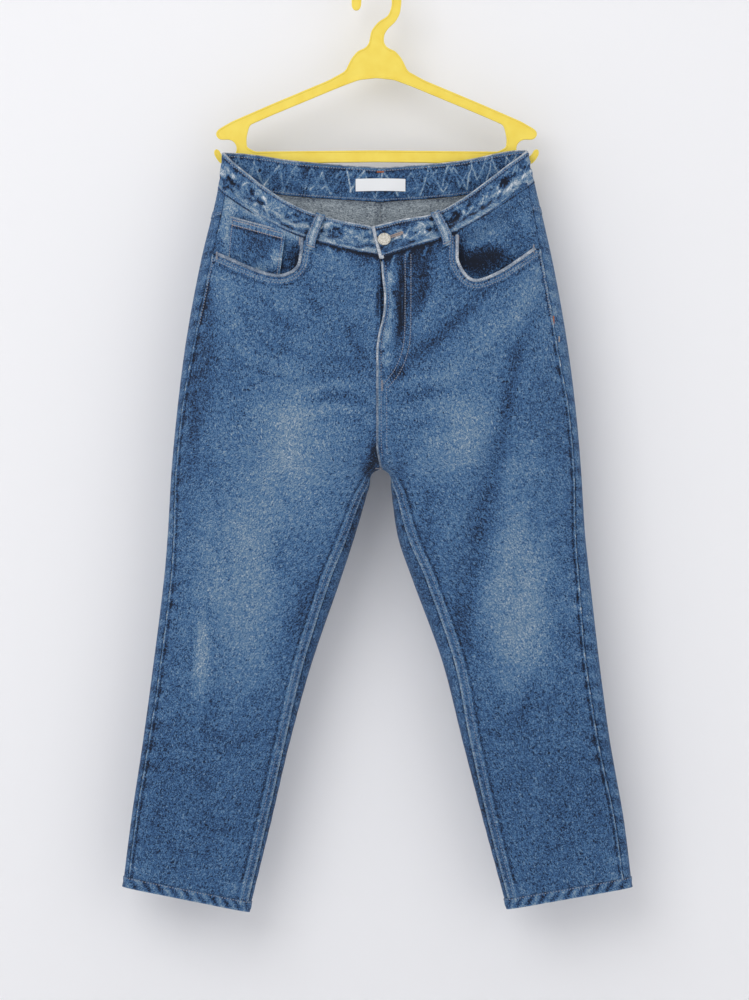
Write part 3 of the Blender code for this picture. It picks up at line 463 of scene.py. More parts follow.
def lie_on(face, x, z, lift):
    """Points at a front-view place on the front or back, moved out from the panel by a lift."""
    x, z = np.asarray(x, float), np.asarray(z, float)

    def depth(x, z):
        width = np.abs(x - CENTRE_X)
        right = face_y("right", width, z, face)
        left = face_y("left", width, z, face)
        return np.where(x < CENTRE_X, right, left)

    step = 1.0
    slope_x = (depth(x + step, z) - depth(x - step, z)) / (2 * step)
    slope_z = (depth(x, z + step) - depth(x, z - step)) / (2 * step)
    facing = -1.0 if face == "front" else 1.0
    out = np.stack([-slope_x * facing, np.full(x.shape, facing), -slope_z * facing], axis=-1)
    out /= np.linalg.norm(out, axis=-1, keepdims=True)
    return np.stack([x, depth(x, z), z], axis=-1) + out * np.asarray(lift)[..., None], out


def arc(cx, cz, radius, start, end, count):
    """Points along an arc, with its angles in degrees from +X."""
    angles = np.radians(np.linspace(start, end, count))
    return [(cx + radius * math.cos(a), cz + radius * math.sin(a)) for a in angles]


def hanger_outline():
    """The hanger's outer edge in the front view, from the hook's tip round and back to it."""
    hook_z = -HOOK_RADIUS + HOOK_WIDTH / 2
    outside, inside = HOOK_RADIUS + HOOK_WIDTH / 2, HOOK_RADIUS - HOOK_WIDTH / 2
    right_side = [
        (29.4, -34.0), (24.0, -44.0), (15.0, -52.0), (9.5, -60.0), (9.0, -70.0), (13.0, -76.5),
        (24.0, -81.0), (32.0, -91.0), (39.0, -106.0), (60.0, -117.5), (128.0, -146.0), (181.0, -169.0),
        (199.0, -179.5), (201.5, -185.5), (197.0, -191.5), (190.5, -191.8),
    ]
    turn = arc(HANGER_NOTCH_X, HANGER_NOTCH_Z, HANGER_NOTCH_R, 100, 276, 12)
    lower_hook = [
        (194.0, -210.5), (197.0, -203.5), (202.5, -203.0), (203.5, -209.5), (197.0, -220.0),
        (186.0, -225.0), (165.0, -224.2),
    ]
    half = right_side + turn + lower_hook
    bottom = [(60.0, -220.4), (0.0, -219.6)]
    right_half = half + bottom
    left_side = [(-x, z) for x, z in reversed(right_side[4:] + turn + lower_hook + bottom[:-1])]
    left_neck = [(-8.6, -66.0), (-6.5, -55.0), (2.0, -44.5), (14.5, -37.0), (inside - 0.5, -26.0)]
    tip = arc(0, hook_z, inside, 0, 190, 17)
    cap = arc(-HOOK_RADIUS, hook_z - 5.5, HOOK_WIDTH / 2, 0, -180, 6)
    back = arc(0, hook_z, outside, 190, 0, 19)
    return right_half + left_side + left_neck + tip + cap + back


def hanger_window():
    """The open triangle between the arms and the bar."""
    right = [
        (0.0, -114.5), (22.0, -117.0), (45.0, -125.5), (128.0, -160.0), (158.0, -173.0),
        (160.5, -180.0), (162.5, -190.0), (162.0, -201.0), (152.0, -206.5), (60.0, -205.6), (0.0, -205.0),
    ]
    return right + [(-x, z) for x, z in reversed(right[1:-1])]

# %% [markdown]
# ## Cloth as a grid
# Each pattern piece is one sheet. Its threads run in two directions, so a grid of points follows them,
# with the outer face, the same grid a wall further in, and a rim between. Two things are stored on the
# points: where they are on the flat cloth, in metres, and how faded the dye is there, a value that in
# places also carries painted shade.

# %% Helpers for cloth
SCENE = bpy.context.scene.collection
Grid = namedtuple("Grid", "points out across down")


def soft_noise(u, v, size, seed):
    """Smooth random values from -1 to 1 over a plane, about one hill for each size."""
    table = np.random.default_rng(seed).uniform(-1, 1, (64, 64))
    a, b = np.broadcast_arrays(np.asarray(u, float) / size, np.asarray(v, float) / size)
    i, j = np.floor(a).astype(int), np.floor(b).astype(int)
    s, t = a - i, b - j
    s, t = s * s * (3 - 2 * s), t * t * (3 - 2 * t)
    low = table[i % 64, j % 64] * (1 - s) + table[(i + 1) % 64, j % 64] * s
    high = table[i % 64, (j + 1) % 64] * (1 - s) + table[(i + 1) % 64, (j + 1) % 64] * s
    return low * (1 - t) + high * t


def bump(distance, width):
    return np.exp(-((distance / width) ** 2))


def step_up(value, low, high):
    t = np.clip((value - low) / (high - low), 0, 1)
    return t * t * (3 - 2 * t)


def unit(vectors):
    return vectors / np.maximum(np.linalg.norm(vectors, axis=-1, keepdims=True), 1e-9)


def grid_of(points, outward):
    """A grid with the directions that face out of it, and the lengths across its rows and down its
    columns. Outward is a rough direction that says which face is the outer one."""
    out = unit(np.cross(np.gradient(points, axis=1), np.gradient(points, axis=0)))
    if (out * outward).sum() < 0:
        out = -out
    steps = [np.linalg.norm(np.diff(points, axis=k), axis=2) for k in (1, 0)]
    across = np.pad(np.cumsum(steps[0], axis=1), ((0, 0), (1, 0)))
    down = np.pad(np.cumsum(steps[1], axis=0), ((1, 0), (0, 0)))
    return Grid(points, out, across, down)


def finish_piece(obj, nodes=()):
    SCENE.objects.link(obj)
    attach(obj, "root")
    if nodes:
        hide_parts(*nodes)
    return obj


def store(mesh, fade, flat):
    """Keeps on a mesh how faded it is at its points, painted shade included, and where its corners are on
    the flat cloth.
    """
    if fade is not None:
        layer = mesh.attributes.new("fade", "FLOAT", "POINT")
        layer.data.foreach_set("value", np.asarray(fade, np.float32))
    if flat is not None:
        corners = np.empty(len(mesh.loops), np.int32)
        mesh.loops.foreach_get("vertex_index", corners)
        layer = mesh.uv_layers.new(name="cloth")
        layer.data.foreach_set("uv", np.asarray(flat, np.float32)[corners].ravel())


def mesh_of(name, points, faces, finishes, kinds=None, fade=None, flat=None, sharp=50):
    """A smooth-shaded mesh of points in millimetres, with its faces turned outwards."""
    points = np.asarray(points, float)
    faces = np.asarray(faces)
    corner = points[faces]
    middle = points.mean(axis=0)
    turn = np.cross(corner[:, 1] - corner[:, 0], corner[:, 2] - corner[:, 0])
    if faces.shape[1] == 4:
        turn = turn + np.cross(corner[:, 2] - corner[:, 0], corner[:, 3] - corner[:, 0])
    if (turn * (corner.mean(axis=1) - middle)).sum() < 0:
        faces = faces[:, ::-1]
    mesh = bpy.data.meshes.new(name)
    mesh.from_pydata((points * MM).tolist(), [], faces.tolist())
    for finish in finishes:
        mesh.materials.append(finish)
    if kinds is not None:
        mesh.polygons.foreach_set("material_index", np.asarray(kinds, np.int32))
    store(mesh, fade, flat)
    mesh.shade_smooth()
    mesh.set_sharp_from_angle(angle=math.radians(sharp))
    return bpy.data.objects.new(name, mesh)


def cloth(name, grid, wall, finishes, fade, inside=0.5, flat=None):
    """A closed sheet on a grid: its outer face, its inner face and the rim, in that order of finishes."""
    rows, columns = grid.points.shape[:2]
    count = rows * columns
    at = np.arange(count).reshape(rows, columns)
    a, b, c, d = at[:-1, :-1], at[:-1, 1:], at[1:, 1:], at[1:, :-1]
    face = np.stack([a, b, c, d], axis=-1).reshape(-1, 4)
    border = np.concatenate([at[0, :-1], at[:-1, -1], at[-1, :0:-1], at[:0:-1, 0]])
    after = np.roll(border, -1)
    rim = np.stack([border, border + count, after + count, after], axis=-1)
    faces = np.concatenate([face, face[:, ::-1] + count, rim])
    kinds = np.repeat((0, 1, 0), (len(face), len(face), len(rim)))
    both = np.concatenate([grid.points.reshape(-1, 3), (grid.points - grid.out * wall).reshape(-1, 3)])
    inner = np.broadcast_to(inside, (rows, columns)).ravel()
    fades = np.concatenate([np.broadcast_to(fade, (rows, columns)).ravel(), inner])
    if flat is None:
        flat = (grid.across, grid.down)
    place = np.stack([flat[0].ravel(), flat[1].ravel()], axis=-1) * MM
    return mesh_of(name, both, faces, finishes, kinds, fades, np.concatenate([place, place]))


def strip(name, path, out, width, height, finish, fade, sides=6):
    """A half-round rib laid along a path on the cloth: a folded edge or a piped seam."""
    path, out = np.asarray(path, float), np.asarray(out, float)
    run = unit(np.gradient(path, axis=0))
    across = unit(np.cross(run, out))
    turn = np.linspace(0, math.pi, sides)
    shape = [(math.cos(t) * width / 2, math.sin(t) * height) for t in turn] + [(0.0, -height * 0.4)]
    rings = np.stack([path + across * s + out * h for s, h in shape], axis=1)
    count, corners = rings.shape[:2]
    at = np.arange(count * corners).reshape(count, corners)
    nxt = np.roll(at, -1, axis=1)
    sides_of = np.stack([at[:-1], nxt[:-1], nxt[1:], at[1:]], axis=-1).reshape(-1, 4).tolist()
    ends = [at[0][::-1].tolist(), at[-1].tolist()]
    mesh = bpy.data.meshes.new(name)
    mesh.from_pydata((rings.reshape(-1, 3) * MM).tolist(), [], sides_of + ends)
    mesh.materials.append(finish)
    along = np.concatenate([[0], np.cumsum(np.linalg.norm(np.diff(path, axis=0), axis=1))]) * MM
    round_it = np.tile(np.array([s for s, _ in shape]) * MM, count)
    place = np.stack([round_it, np.repeat(along, corners)], axis=-1)
    store(mesh, np.repeat(np.broadcast_to(fade, count), corners), place)
    made = bmesh.new()
    made.from_mesh(mesh)
    bmesh.ops.recalc_face_normals(made, faces=made.faces)
    made.to_mesh(mesh)
    made.free()
    mesh.shade_smooth()
    return bpy.data.objects.new(name, mesh)


def along_line(points, pitch, extra=None):
    """Points spaced evenly by the pitch along a path, with whatever else is given at its points."""
    points = np.asarray(points, float)
    lengths = np.concatenate([[0], np.cumsum(np.linalg.norm(np.diff(points, axis=0), axis=1))])
    at = np.linspace(0, lengths[-1], max(2, int(round(lengths[-1] / pitch)) + 1))
    spread = [np.stack([np.interp(at, lengths, v[:, k]) for k in range(v.shape[1])], axis=1)
              for v in ((points,) if extra is None else (points, extra))]
    return spread[0] if extra is None else spread


# %% [markdown]
# ## Folds, fading and painted shade
# Hanging cloth falls in a few soft folds: drag lines from the fly and the pocket, the long fold down each
# leg and the short ones that spread from the crotch. Washing then rubs the dye off whatever stands proud.
# Each fold is one row: a curve through three places in the front or back view, how wide and how high it
# is, and how much paler or darker the cloth is there: paler on a ridge, where the wash rubbed the dye off,
# and darker in a hollow, which is painted shade along with the less worn dye there. The pale patches on
# thighs and knees are sanded on by hand at the laundry, so they have a table of their own; that table also
# holds darker patches, among them painted shadow at the crotch and in the opened fly.

# %% Folds and faded patches
Fold = namedtuple("Fold", "face x0 z0 x1 z1 x2 z2 reach lift fade")
Patch = namedtuple("Patch", "face x z half_width half_height lean edge fade")
FOLDS = (
    # The long fold of the left leg
    Fold("front", 162, -517, 142, -621, 112, -761, 15, -3.0, -0.14),
    Fold("front", 176, -436, 167, -492, 158, -567, 9, -0.8, -0.12),
    Fold("front", 112, -754, 108, -792, 117, -842, 10, -1.0, -0.14),
    Fold("front", 172, -724, 173, -742, 174, -763, 6, -0.6, -0.08),
    Fold("front", -212, -746, -211, -782, -207, -823, 5, -0.8, -0.11),
    Fold("front", -124, -692, -123, -707, -124, -727, 8, -0.8, -0.08),
    # Fly: the ridge over the zip, the valley beside it and the dark panel beyond
    Fold("front", 16, -344, 19, -404, 16, -469, 5, 1.6, 0.11),
    Fold("front", 32, -344, 32, -407, 26, -457, 4.5, -2.2, -0.24),
    Fold("front", 64, -352, 59, -379, 54, -407, 7, -1.4, -0.11),
    Fold("front", 77, -373, 61, -411, 42, -448, 9, 1.2, 0.11),
    Fold("front", 151, -371, 98, -419, 32, -479, 9, -2.2, -0.17),
    Fold("front", 11, -489, 21, -487, 39, -474, 8, -0.6, -0.22),
    Fold("front", 12, -454, 12, -464, 13, -477, 5, 0.4, 0.18),
    # Drag lines from the pocket mouth and hip, viewer's left
    Fold("front", -44, -414, -26, -449, -8, -484, 8, -1.1, -0.12),
    Fold("front", -88, -373, -81, -392, -68, -414, 8, -0.7, -0.08),
    Fold("front", -193, -371, -171, -417, -127, -457, 6, 0.8, 0.08),
    Fold("front", -178, -392, -143, -444, -73, -462, 6, -1.0, -0.11),
    Fold("front", -156, -379, -118, -419, -88, -437, 6, -0.8, -0.09),
    Fold("front", -73, -462, -46, -469, -13, -482, 6, -0.8, -0.08),
    Fold("front", -188, -436, -133, -477, -46, -502, 7, 0.8, 0.06),
    Fold("front", -181, -469, -114, -489, -39, -489, 6, -0.8, -0.08),
    Fold("front", -96, -507, -46, -497, -13, -507, 5, 0.8, 0.09),
    Fold("front", -6, -512, -1, -517, 4, -514, 7, 0.5, 0.14),
    Fold("front", -101, -522, -46, -512, -8, -522, 6, -0.9, -0.09),
    Fold("front", -96, -534, -46, -527, -13, -539, 5, 0.7, 0.06),
    Fold("front", -88, -548, -39, -539, -8, -554, 6, -0.8, -0.08),
    Fold("front", -189, -492, -143, -507, -96, -517, 7, -0.5, -0.04),
    # Whiskers, viewer's right
    Fold("front", 17, -504, 54, -493, 94, -489, 5, 0.7, 0.08),
    Fold("front", 24, -519, 64, -509, 112, -502, 6, -0.9, -0.09),
    Fold("front", 29, -534, 67, -527, 99, -519, 5, 0.6, 0.04),
    Fold("front", 34, -552, 69, -547, 102, -554, 7, -0.7, -0.08),
    Fold("front", 211, -344, 161, -423, 89, -482, 12, 1.3, 0.09),
    Fold("front", 204, -392, 182, -454, 169, -507, 9, -0.7, -0.08),
    Fold("front", 219, -392, 211, -454, 204, -517, 8, 0.5, 0.04),
    # Beside the crotch and down the inner legs; the first two rows darken the cloth as painted crotch shadow
    Fold("front", -1, -567, -3, -589, -11, -617, 8, -1.2, -0.26),
    Fold("front", -13, -617, -26, -661, -41, -707, 7, -0.6, -0.15),
    Fold("front", 34, -573, 32, -617, 44, -667, 8, -0.8, -0.08),
    Fold("front", 67, -604, 64, -642, 69, -692, 12, -0.8, -0.08),
    Fold("front", -68, -717, -96, -779, -111, -836, 9, -0.7, -0.09),
    Fold("front", -96, -817, -111, -879, -121, -929, 7, 0.5, 0.08),
    Fold("front", 82, -817, 102, -879, 114, -936, 7, 0.5, 0.08),
    Fold("front", 204, -854, 189, -892, 179, -936, 9, -0.7, -0.08),
    Fold("front", -143, -936, -171, -944, -203, -942, 10, -0.6, -0.04),
    # Lower legs
    Fold("front", -233, -967, -214, -1017, -221, -1079, 14, -0.8, -0.03),
    Fold("front", 229, -967, 219, -1017, 237, -1079, 14, -0.8, -0.03),
    # The outer edge of the leg, viewer's left, where the side panel turns in
    Fold("front", -213, -374, -214, -392, -218, -414, 8, -0.8, -0.18),
    Fold("front", -221, -442, -226, -517, -233, -592, 10, -0.5, -0.08),
    Fold("front", -206, -392, -209, -467, -212, -567, 6, 0.4, -0.08),
    # Seat and back of the knees
    Fold("back", -31, -604, -96, -586, -202, -579, 14, -3.0, -0.09),
    Fold("back", 44, -608, 104, -589, 211, -579, 14, -3.0, -0.09),
    Fold("back", -21, -632, -96, -624, -202, -614, 10, -1.6, -0.06),
    Fold("back", 36, -636, 104, -627, 211, -617, 10, -1.6, -0.06),
    Fold("back", -152, -698, -158, -792, -177, -879, 16, -1.5, -0.05),
    Fold("back", 152, -692, 164, -786, 179, -879, 16, -1.5, -0.05),
    Fold("back", -258, -767, -196, -782, -108, -767, 7, -1.2, -0.05),
    Fold("back", -264, -798, -202, -809, -114, -802, 7, -1.2, -0.05),
    Fold("back", -261, -832, -202, -839, -127, -827, 7, -1.0, -0.04),
    Fold("back", 114, -767, 192, -784, 262, -769, 7, -1.2, -0.05),
    Fold("back", 122, -799, 194, -812, 264, -802, 7, -1.2, -0.05),
    Fold("back", 129, -829, 197, -839, 264, -829, 7, -1.0, -0.04),
)
PATCHES = (
    Patch("front", -106, -567, 65, 75, -4, 1.2, 0.175),
    Patch("front", -106, -557, 17.5, 57.5, 0, 1.0, 0.05),
    Patch("front", -148, -667, 42.5, 57.5, 6, 1.1, 0.10),
    Patch("front", -166, -773, 50, 102.5, 4, 1.3, 0.175),
    Patch("front", 17, -373, 6.25, 32.5, 4, 1.5, 0.13),
    Patch("front", 31, -382, 5, 42.5, 2, 1.5, -0.13),
    # Painted shadow beside the gap where the lapped fly edge bows open
    Patch("front", 2, -392, 3, 30, 3, 1.2, -0.22),
    Patch("front", -218, -832, 10.625, 67.5, 4, 1.6, 0.20),
    Patch("front", -216, -692, 22.5, 75, 0, 1.1, 0.045),
    Patch("front", 107, -549, 42.5, 55, 10, 1.2, 0.205),
    Patch("front", 67, -604, 37.5, 50, 0, 1.0, 0.05),
    Patch("front", 173, -629, 32.5, 62.5, 0, 1.1, 0.085),
    Patch("front", 176, -779, 41.25, 105, -2, 1.9, 0.215),
    Patch("front", 129, -429, 50, 42.5, -40, 1.0, 0.06),
    Patch("front", 204, -392, 35, 57.5, -20, 1.0, 0.07),
    Patch("front", -51, -344, 27.5, 32.5, 0, 1.0, 0.09),
    Patch("front", -106, -414, 57.5, 45, 0, 1.0, 0.05),
    Patch("front", -186, -373, 17.5, 27.5, -20, 1.0, 0.09),
    Patch("front", -3, -417, 12.5, 75, 0, 1.0, 0.04),
    Patch("front", -14, -332, 12.5, 11.25, 0, 1.2, -0.14),
    Patch("front", 44, -329, 32.5, 30, 0, 1.6, -0.17),
    Patch("front", 44, -392, 22.5, 52.5, 6, 1.4, -0.14),
    Patch("front", -96, -767, 27.5, 112.5, -16, 1.2, -0.035),
    Patch("front", -226, -517, 15, 137.5, 4, 1.1, -0.06),
    Patch("front", 219, -542, 20, 112.5, -4, 1.1, -0.03),
    Patch("front", -171, -1129, 20, 11.25, 0, 1.2, 0.10),
    Patch("front", 174, -1132, 17.5, 11.25, 0, 1.2, 0.10),
    Patch("front", 302, -1107, 15, 17.5, 0, 1.2, 0.10),
    Patch("front", -302, -1114, 12.5, 15, 0, 1.2, 0.08),
    # Painted shadow at the crotch
    Patch("front", -6, -602, 15, 25, 0, 1.4, -0.08),
    Patch("back", -108, -429, 57.5, 75, 0, 1.1, 0.16),
    Patch("back", 117, -429, 57.5, 75, 0, 1.1, 0.16),
    Patch("back", -181, -667, 45, 112.5, 6, 1.2, 0.12),
    Patch("back", 186, -667, 45, 112.5, -6, 1.2, 0.12),
    Patch("back", -221, -992, 42.5, 75, 4, 1.2, 0.07),
    Patch("back", 229, -992, 42.5, 75, -4, 1.2, 0.07),
)
LOW_FADE = 0.272
HIGH_FADE = 0.322


def near_path(x, z, points, pieces=12):
    """How far each place is from a smooth line in the front view, and the share of the line nearest it."""
    line = smooth_line(points, pieces + 1)
    best = np.full(x.shape, 1e9)
    share = np.zeros(x.shape)
    for k in range(pieces):
        a, run = line[k], line[k + 1] - line[k]
        t = np.clip(((x - a[0]) * run[0] + (z - a[1]) * run[1]) / (run @ run), 0, 1)
        distance = np.hypot(x - a[0] - t * run[0], z - a[1] - t * run[1])
        closer = distance < best
        best = np.where(closer, distance, best)
        share = np.where(closer, (k + t) / pieces, share)
    return best, share


def relief(face, x, z):
    """How far the cloth stands out at places of the front or back view, and how faded it is there, painted
    shade in the hollows included.
    """
    shape = x.shape
    x, z = x.ravel(), z.ravel()
    lift, fade = np.zeros(x.shape), np.zeros(x.shape)
    for row in FOLDS:
        if row.face != face:
            continue
        ends = ((row.x0, row.z0), (row.x1, row.z1), (row.x2, row.z2))
        margin = 2.5 * row.reach
        xs, zs = [p[0] for p in ends], [p[1] for p in ends]
        inside = (x > min(xs) - margin) & (x < max(xs) + margin)
        inside = inside & (z > min(zs) - margin) & (z < max(zs) + margin)
        if not inside.any():
            continue
        distance, share = near_path(x[inside], z[inside], ends)
        form = bump(distance, row.reach) * (0.25 + 0.75 * step_up(np.minimum(share, 1 - share), 0, 0.3))
        lift[inside] += row.lift * form
        fade[inside] += row.fade * form
    for row in PATCHES:
        if row.face != face:
            continue
        lean = math.radians(row.lean)
        along = (x - row.x) * math.sin(lean) + (z - row.z) * math.cos(lean)
        across = (x - row.x) * math.cos(lean) - (z - row.z) * math.sin(lean)
        wobble = 1 + 0.18 * soft_noise(x, z, 28, 5)
        away = ((across / row.half_width) ** 2 + (along / row.half_height) ** 2) * wobble
        fade += row.fade * np.exp(-(away ** row.edge))
    return lift.reshape(shape), fade.reshape(shape)


def base_fade(z):
    """The lower legs are rubbed less in the wash than the thighs and the seat."""
    return LOW_FADE + (HIGH_FADE - LOW_FADE) * step_up(z, -960, -720)


def as_seen(points):
    """Where points appear in the plane through the hook, seen from the camera."""
    far = 5000.0 / (5000.0 + points[..., 1])
    return EYE_X + (points[..., 0] - EYE_X) * far, EYE_Z + (points[..., 2] - EYE_Z) * far


def folded(points, out):
    """The lift and the fading, painted shade included, at points of the body, from the tables, mixed from
    front to back.
    """
    x, z = as_seen(points)
    front_lift, front_fade = relief("front", x, z)
    back_lift, back_fade = relief("back", points[..., 0], points[..., 2])
    front = step_up(-out[..., 1], -0.5, 0.3)
    square = np.clip(np.abs(out[..., 1]) * 1.4, 0, 1)
    wrinkle = 0.35 * soft_noise(x, z, 34, 11) + 0.18 * soft_noise(x + 0.6 * z, z, 13, 12)
    mottle = 0.03 * soft_noise(x, z, 30, 21) + 0.03 * soft_noise(x, z, 11, 22)
    lift = (front_lift * front + back_lift * (1 - front) + wrinkle) * square
    fade = base_fade(z) + front_fade * front + back_fade * (1 - front) + mottle
    return lift, fade


def roping(distance, along, seed, reach=10.0, period=24.0):
    """A sewn seam pulls the cloth beside it into small slanting ripples: their height and fading."""
    phase = along / period + 0.35 * soft_noise(along, 0 * along, 60, seed) + distance / 40
    wave = np.sin(2 * math.pi * phase) * (0.65 + 0.5 * soft_noise(along, 0 * along, 37, seed + 1))
    near = bump(distance, reach)
    return 0.6 * wave * near, 0.085 * wave * near


print("folds:", len(FOLDS), "faded patches:", len(PATCHES))

# %% [markdown]
# ## Denim
# Denim is a cotton twill: blue warp threads over white weft threads. The dye only coats the outside of the
# warp, so wear shows the white core, first on the highest threads as short pale curls, then all over. The
# shader does the same: how faded the cloth is, from the points, where painted shade is also added, is
# broken up by curls, grain and clouds, and the sum picks a colour between navy and near-white. The cloth
# is rough, with a little fuzz.

# %% Denim materials
def linear(code):
    """A screen colour such as 3a587d in the linear values that a shader takes."""
    parts = [int(code[i: i + 2], 16) / 255 for i in (0, 2, 4)]
    return (*((p / 12.92 if p <= 0.04045 else ((p + 0.055) / 1.055) ** 2.4) for p in parts), 1.0)


def add_node(tree, kind, inputs=None, **settings):
    """Adds a node. An input is a constant or, if it is another node's output, a link."""
    made = tree.nodes.new(kind)
    for name, value in settings.items():
        setattr(made, name, value)
    for name, value in (inputs or {}).items():
        if isinstance(value, bpy.types.NodeSocket):
            tree.links.new(value, made.inputs[name])
        else:
            made.inputs[name].default_value = value
    return made


def set_stops(ramp, stops):
    """Fills a colour ramp from (place, screen colour) rows."""
    band = ramp.color_ramp
    while len(band.elements) > 1:
        band.elements.remove(band.elements[-1])
    band.elements[0].position, band.elements[0].color = stops[0][0], linear(stops[0][1])
    for place, code in stops[1:]:
        band.elements.new(place).color = linear(code)


def weighted(tree, first, *others):
    """The first value plus each (value, middle, weight): weight times its distance from its middle."""
    total = first
    for value, middle, weight in others:
        change = add_node(tree, "ShaderNodeMath", {0: value, 1: middle}, operation="SUBTRACT").outputs[0]
        add = add_node(tree, "ShaderNodeMath", {0: change, 1: weight, 2: total}, operation="MULTIPLY_ADD")
        total = add.outputs[0]
    return total


def noise(tree, where, scale, detail=2.0, distortion=0.0, roughness=0.5):
    inputs = {"Vector": where, "Scale": scale, "Detail": detail}
    inputs.update(Distortion=distortion, Roughness=roughness)
    return add_node(tree, "ShaderNodeTexNoise", inputs).outputs["Fac"]


def cloth_material(name, stops, curl=1.05, grain=0.75, cloud=0.12, sheen=0.1, turn=0.0):
    """Woven cotton: colours by fading, and how strongly curls, grain and clouds break them up."""
    made = bpy.data.materials.new(name)
    made.use_nodes = True
    tree = made.node_tree
    shader = tree.nodes["Principled BSDF"]
    shader.inputs["Roughness"].default_value = 0.92
    shader.inputs["IOR"].default_value = 1.46
    shader.inputs["Specular IOR Level"].default_value = 0.25
    shader.inputs["Sheen Weight"].default_value = sheen
    shader.inputs["Sheen Roughness"].default_value = 0.6
    place = add_node(tree, "ShaderNodeUVMap", uv_map="cloth").outputs[0]
    fade = add_node(tree, "ShaderNodeAttribute", attribute_name="fade").outputs["Fac"]
    # Worn warp floats: curls about 3 mm long and 1.6 mm apart, leaning a little as the twill does.
    rotation = (0, 0, math.radians(24 + turn))
    leaning = add_node(tree, "ShaderNodeMapping", {"Vector": place, "Rotation": rotation})
    slim = add_node(tree, "ShaderNodeMapping", {"Vector": leaning.outputs[0], "Scale": (1.6, 0.8, 1)})
    curls = noise(tree, slim.outputs[0], 330, 1.5, 1.3)
    # Single threads: the real twill lines are 0.7 mm apart, drawn here over twice as coarse.
    threads = noise(tree, place, 620, 1.0, 0.5, 0.6)
    clouds = noise(tree, place, 75, 3.0, 0.4, 0.55)
    level = weighted(tree, fade, (curls, 0.5, curl), (threads, 0.5, grain), (clouds, 0.5, cloud))
    ramp = add_node(tree, "ShaderNodeValToRGB", {"Fac": level})
    set_stops(ramp, stops)
    tree.links.new(ramp.outputs["Color"], shader.inputs["Base Color"])
    height = weighted(tree, curls, (threads, 0.5, 0.6))
    rough = add_node(tree, "ShaderNodeBump", {"Height": height, "Strength": 0.35, "Distance": 0.0006})
    tree.links.new(rough.outputs[0], shader.inputs["Normal"])
    return made


WASHED = (
    (0.00, "0d1626"), (0.08, "17263d"), (0.20, "264268"), (0.32, "375d89"), (0.44, "4e7195"),
    (0.56, "698298"), (0.68, "8495a6"), (0.80, "9eabb9"), (1.00, "ccd2d9"),
)
# Stone-washed indigo denim, outer face: dyed warp, sanded and enzyme-washed, blue with pale curls.
DENIM_FACE = cloth_material("washed indigo denim", WASHED)
# The reverse shows mostly undyed weft, greyed by loose dye in the wash.
REVERSE = (
    (0.00, "2b3444"), (0.25, "4d5664"), (0.50, "79838b"), (0.72, "98a2aa"), (1.00, "bcc3c8"),
)
DENIM_BACK = cloth_material("denim reverse, undyed weft", REVERSE, curl=1.1, grain=0.9, cloud=0.2, turn=60)
# Folded and piped edges wear fastest: the dye is nearly gone, leaving grey-white cotton.
EDGE = ((0.00, "39485f"), (0.30, "65758b"), (0.55, "8b95a3"), (0.80, "b4bac3"), (1.00, "d6d9dc"))
WORN_EDGE = cloth_material("worn denim edge", EDGE, curl=0.9, grain=0.9, cloud=0.4)
# Core-spun sewing thread, a smooth twist: grey-blue on the seams, tan at the buttonhole, rust at the tacks.
THREAD = ((0.00, "4a5f7e"), (0.35, "7b8698"), (0.60, "a39c9c"), (0.80, "b98f6a"), (1.00, "a8623c"))
SEWING_THREAD = cloth_material("sewing thread", THREAD, curl=0.0, grain=0.3, cloud=0.2, sheen=0.0)
print("cloth materials:", 4)

# %% [markdown]
# ## Stitches
# Seams are sewn with thick thread, about three stitches to the centimetre, and each stitch is seen as a
# small grain of thread that sinks at both ends. One grain is shaped once and copied along every row; the
# rows of one part of the garment share a mesh.

# %% Stitches
STITCH_PITCH = 3.5
STITCH_LENGTH = 2.5
STITCH_WIDTH = 1.1
STITCH_HEIGHT = 0.6
Stitch = namedtuple("Stitch", "along across up")
GRAIN = (
    Stitch(-0.5, 0.0, -0.6), Stitch(-0.25, -0.5, 0.1), Stitch(-0.25, 0.0, 0.9), Stitch(-0.25, 0.5, 0.1),
    Stitch(0.25, -0.5, 0.1), Stitch(0.25, 0.0, 0.9), Stitch(0.25, 0.5, 0.1), Stitch(0.5, 0.0, -0.6),
)
GRAIN_FACES = (
    (0, 2, 1), (0, 3, 2), (0, 1, 3), (1, 2, 5), (1, 5, 4), (2, 3, 6), (2, 6, 5), (3, 1, 4), (3, 4, 6),
    (7, 4, 5), (7, 5, 6), (7, 6, 4),
)
sewing = defaultdict(list)


def sew(part, path, out, fade=0.3, pitch=STITCH_PITCH, scale=1.0, lift=0.0):
    """A row of stitches along a path on the cloth, kept for the mesh of that part."""
    path, out = np.asarray(path, float), np.asarray(out, float)
    length = np.linalg.norm(np.diff(path, axis=0), axis=1).sum()
    if length < pitch:
        return
    ends, normals = along_line(path, length / max(1, round(length / pitch)), out)
    middle = (ends[1:] + ends[:-1]) / 2
    run = unit(ends[1:] - ends[:-1])
    up = unit((normals[1:] + normals[:-1]) / 2)
    sewing[part].append((middle + up * lift, run, up, np.full(len(middle), fade), scale))


def single(part, middle, run, up, length, fade, scale=1.0):
    """One stitch of its own length, for tacks and buttonholes."""
    grow = length / STITCH_LENGTH
    middle, run, up = (np.asarray(v, float)[None] for v in (middle, run, up))
    sewing[part].append((middle, unit(run) * grow, unit(up), np.array([fade]), scale))


def tack(part, middle, run, up, length, width, fade, rows=9):
    """A bar tack: stitches packed side by side across a short bar."""
    run, up = unit(np.asarray(run, float)), unit(np.asarray(up, float))
    across = np.cross(run, up)
    for k in range(rows):
        shift = (k / (rows - 1) - 0.5) * length
        lean = run * (0.6 if k % 2 else -0.6)
        single(part, np.asarray(middle) + run * shift + up * 0.3, across * width + lean, up, width, fade)


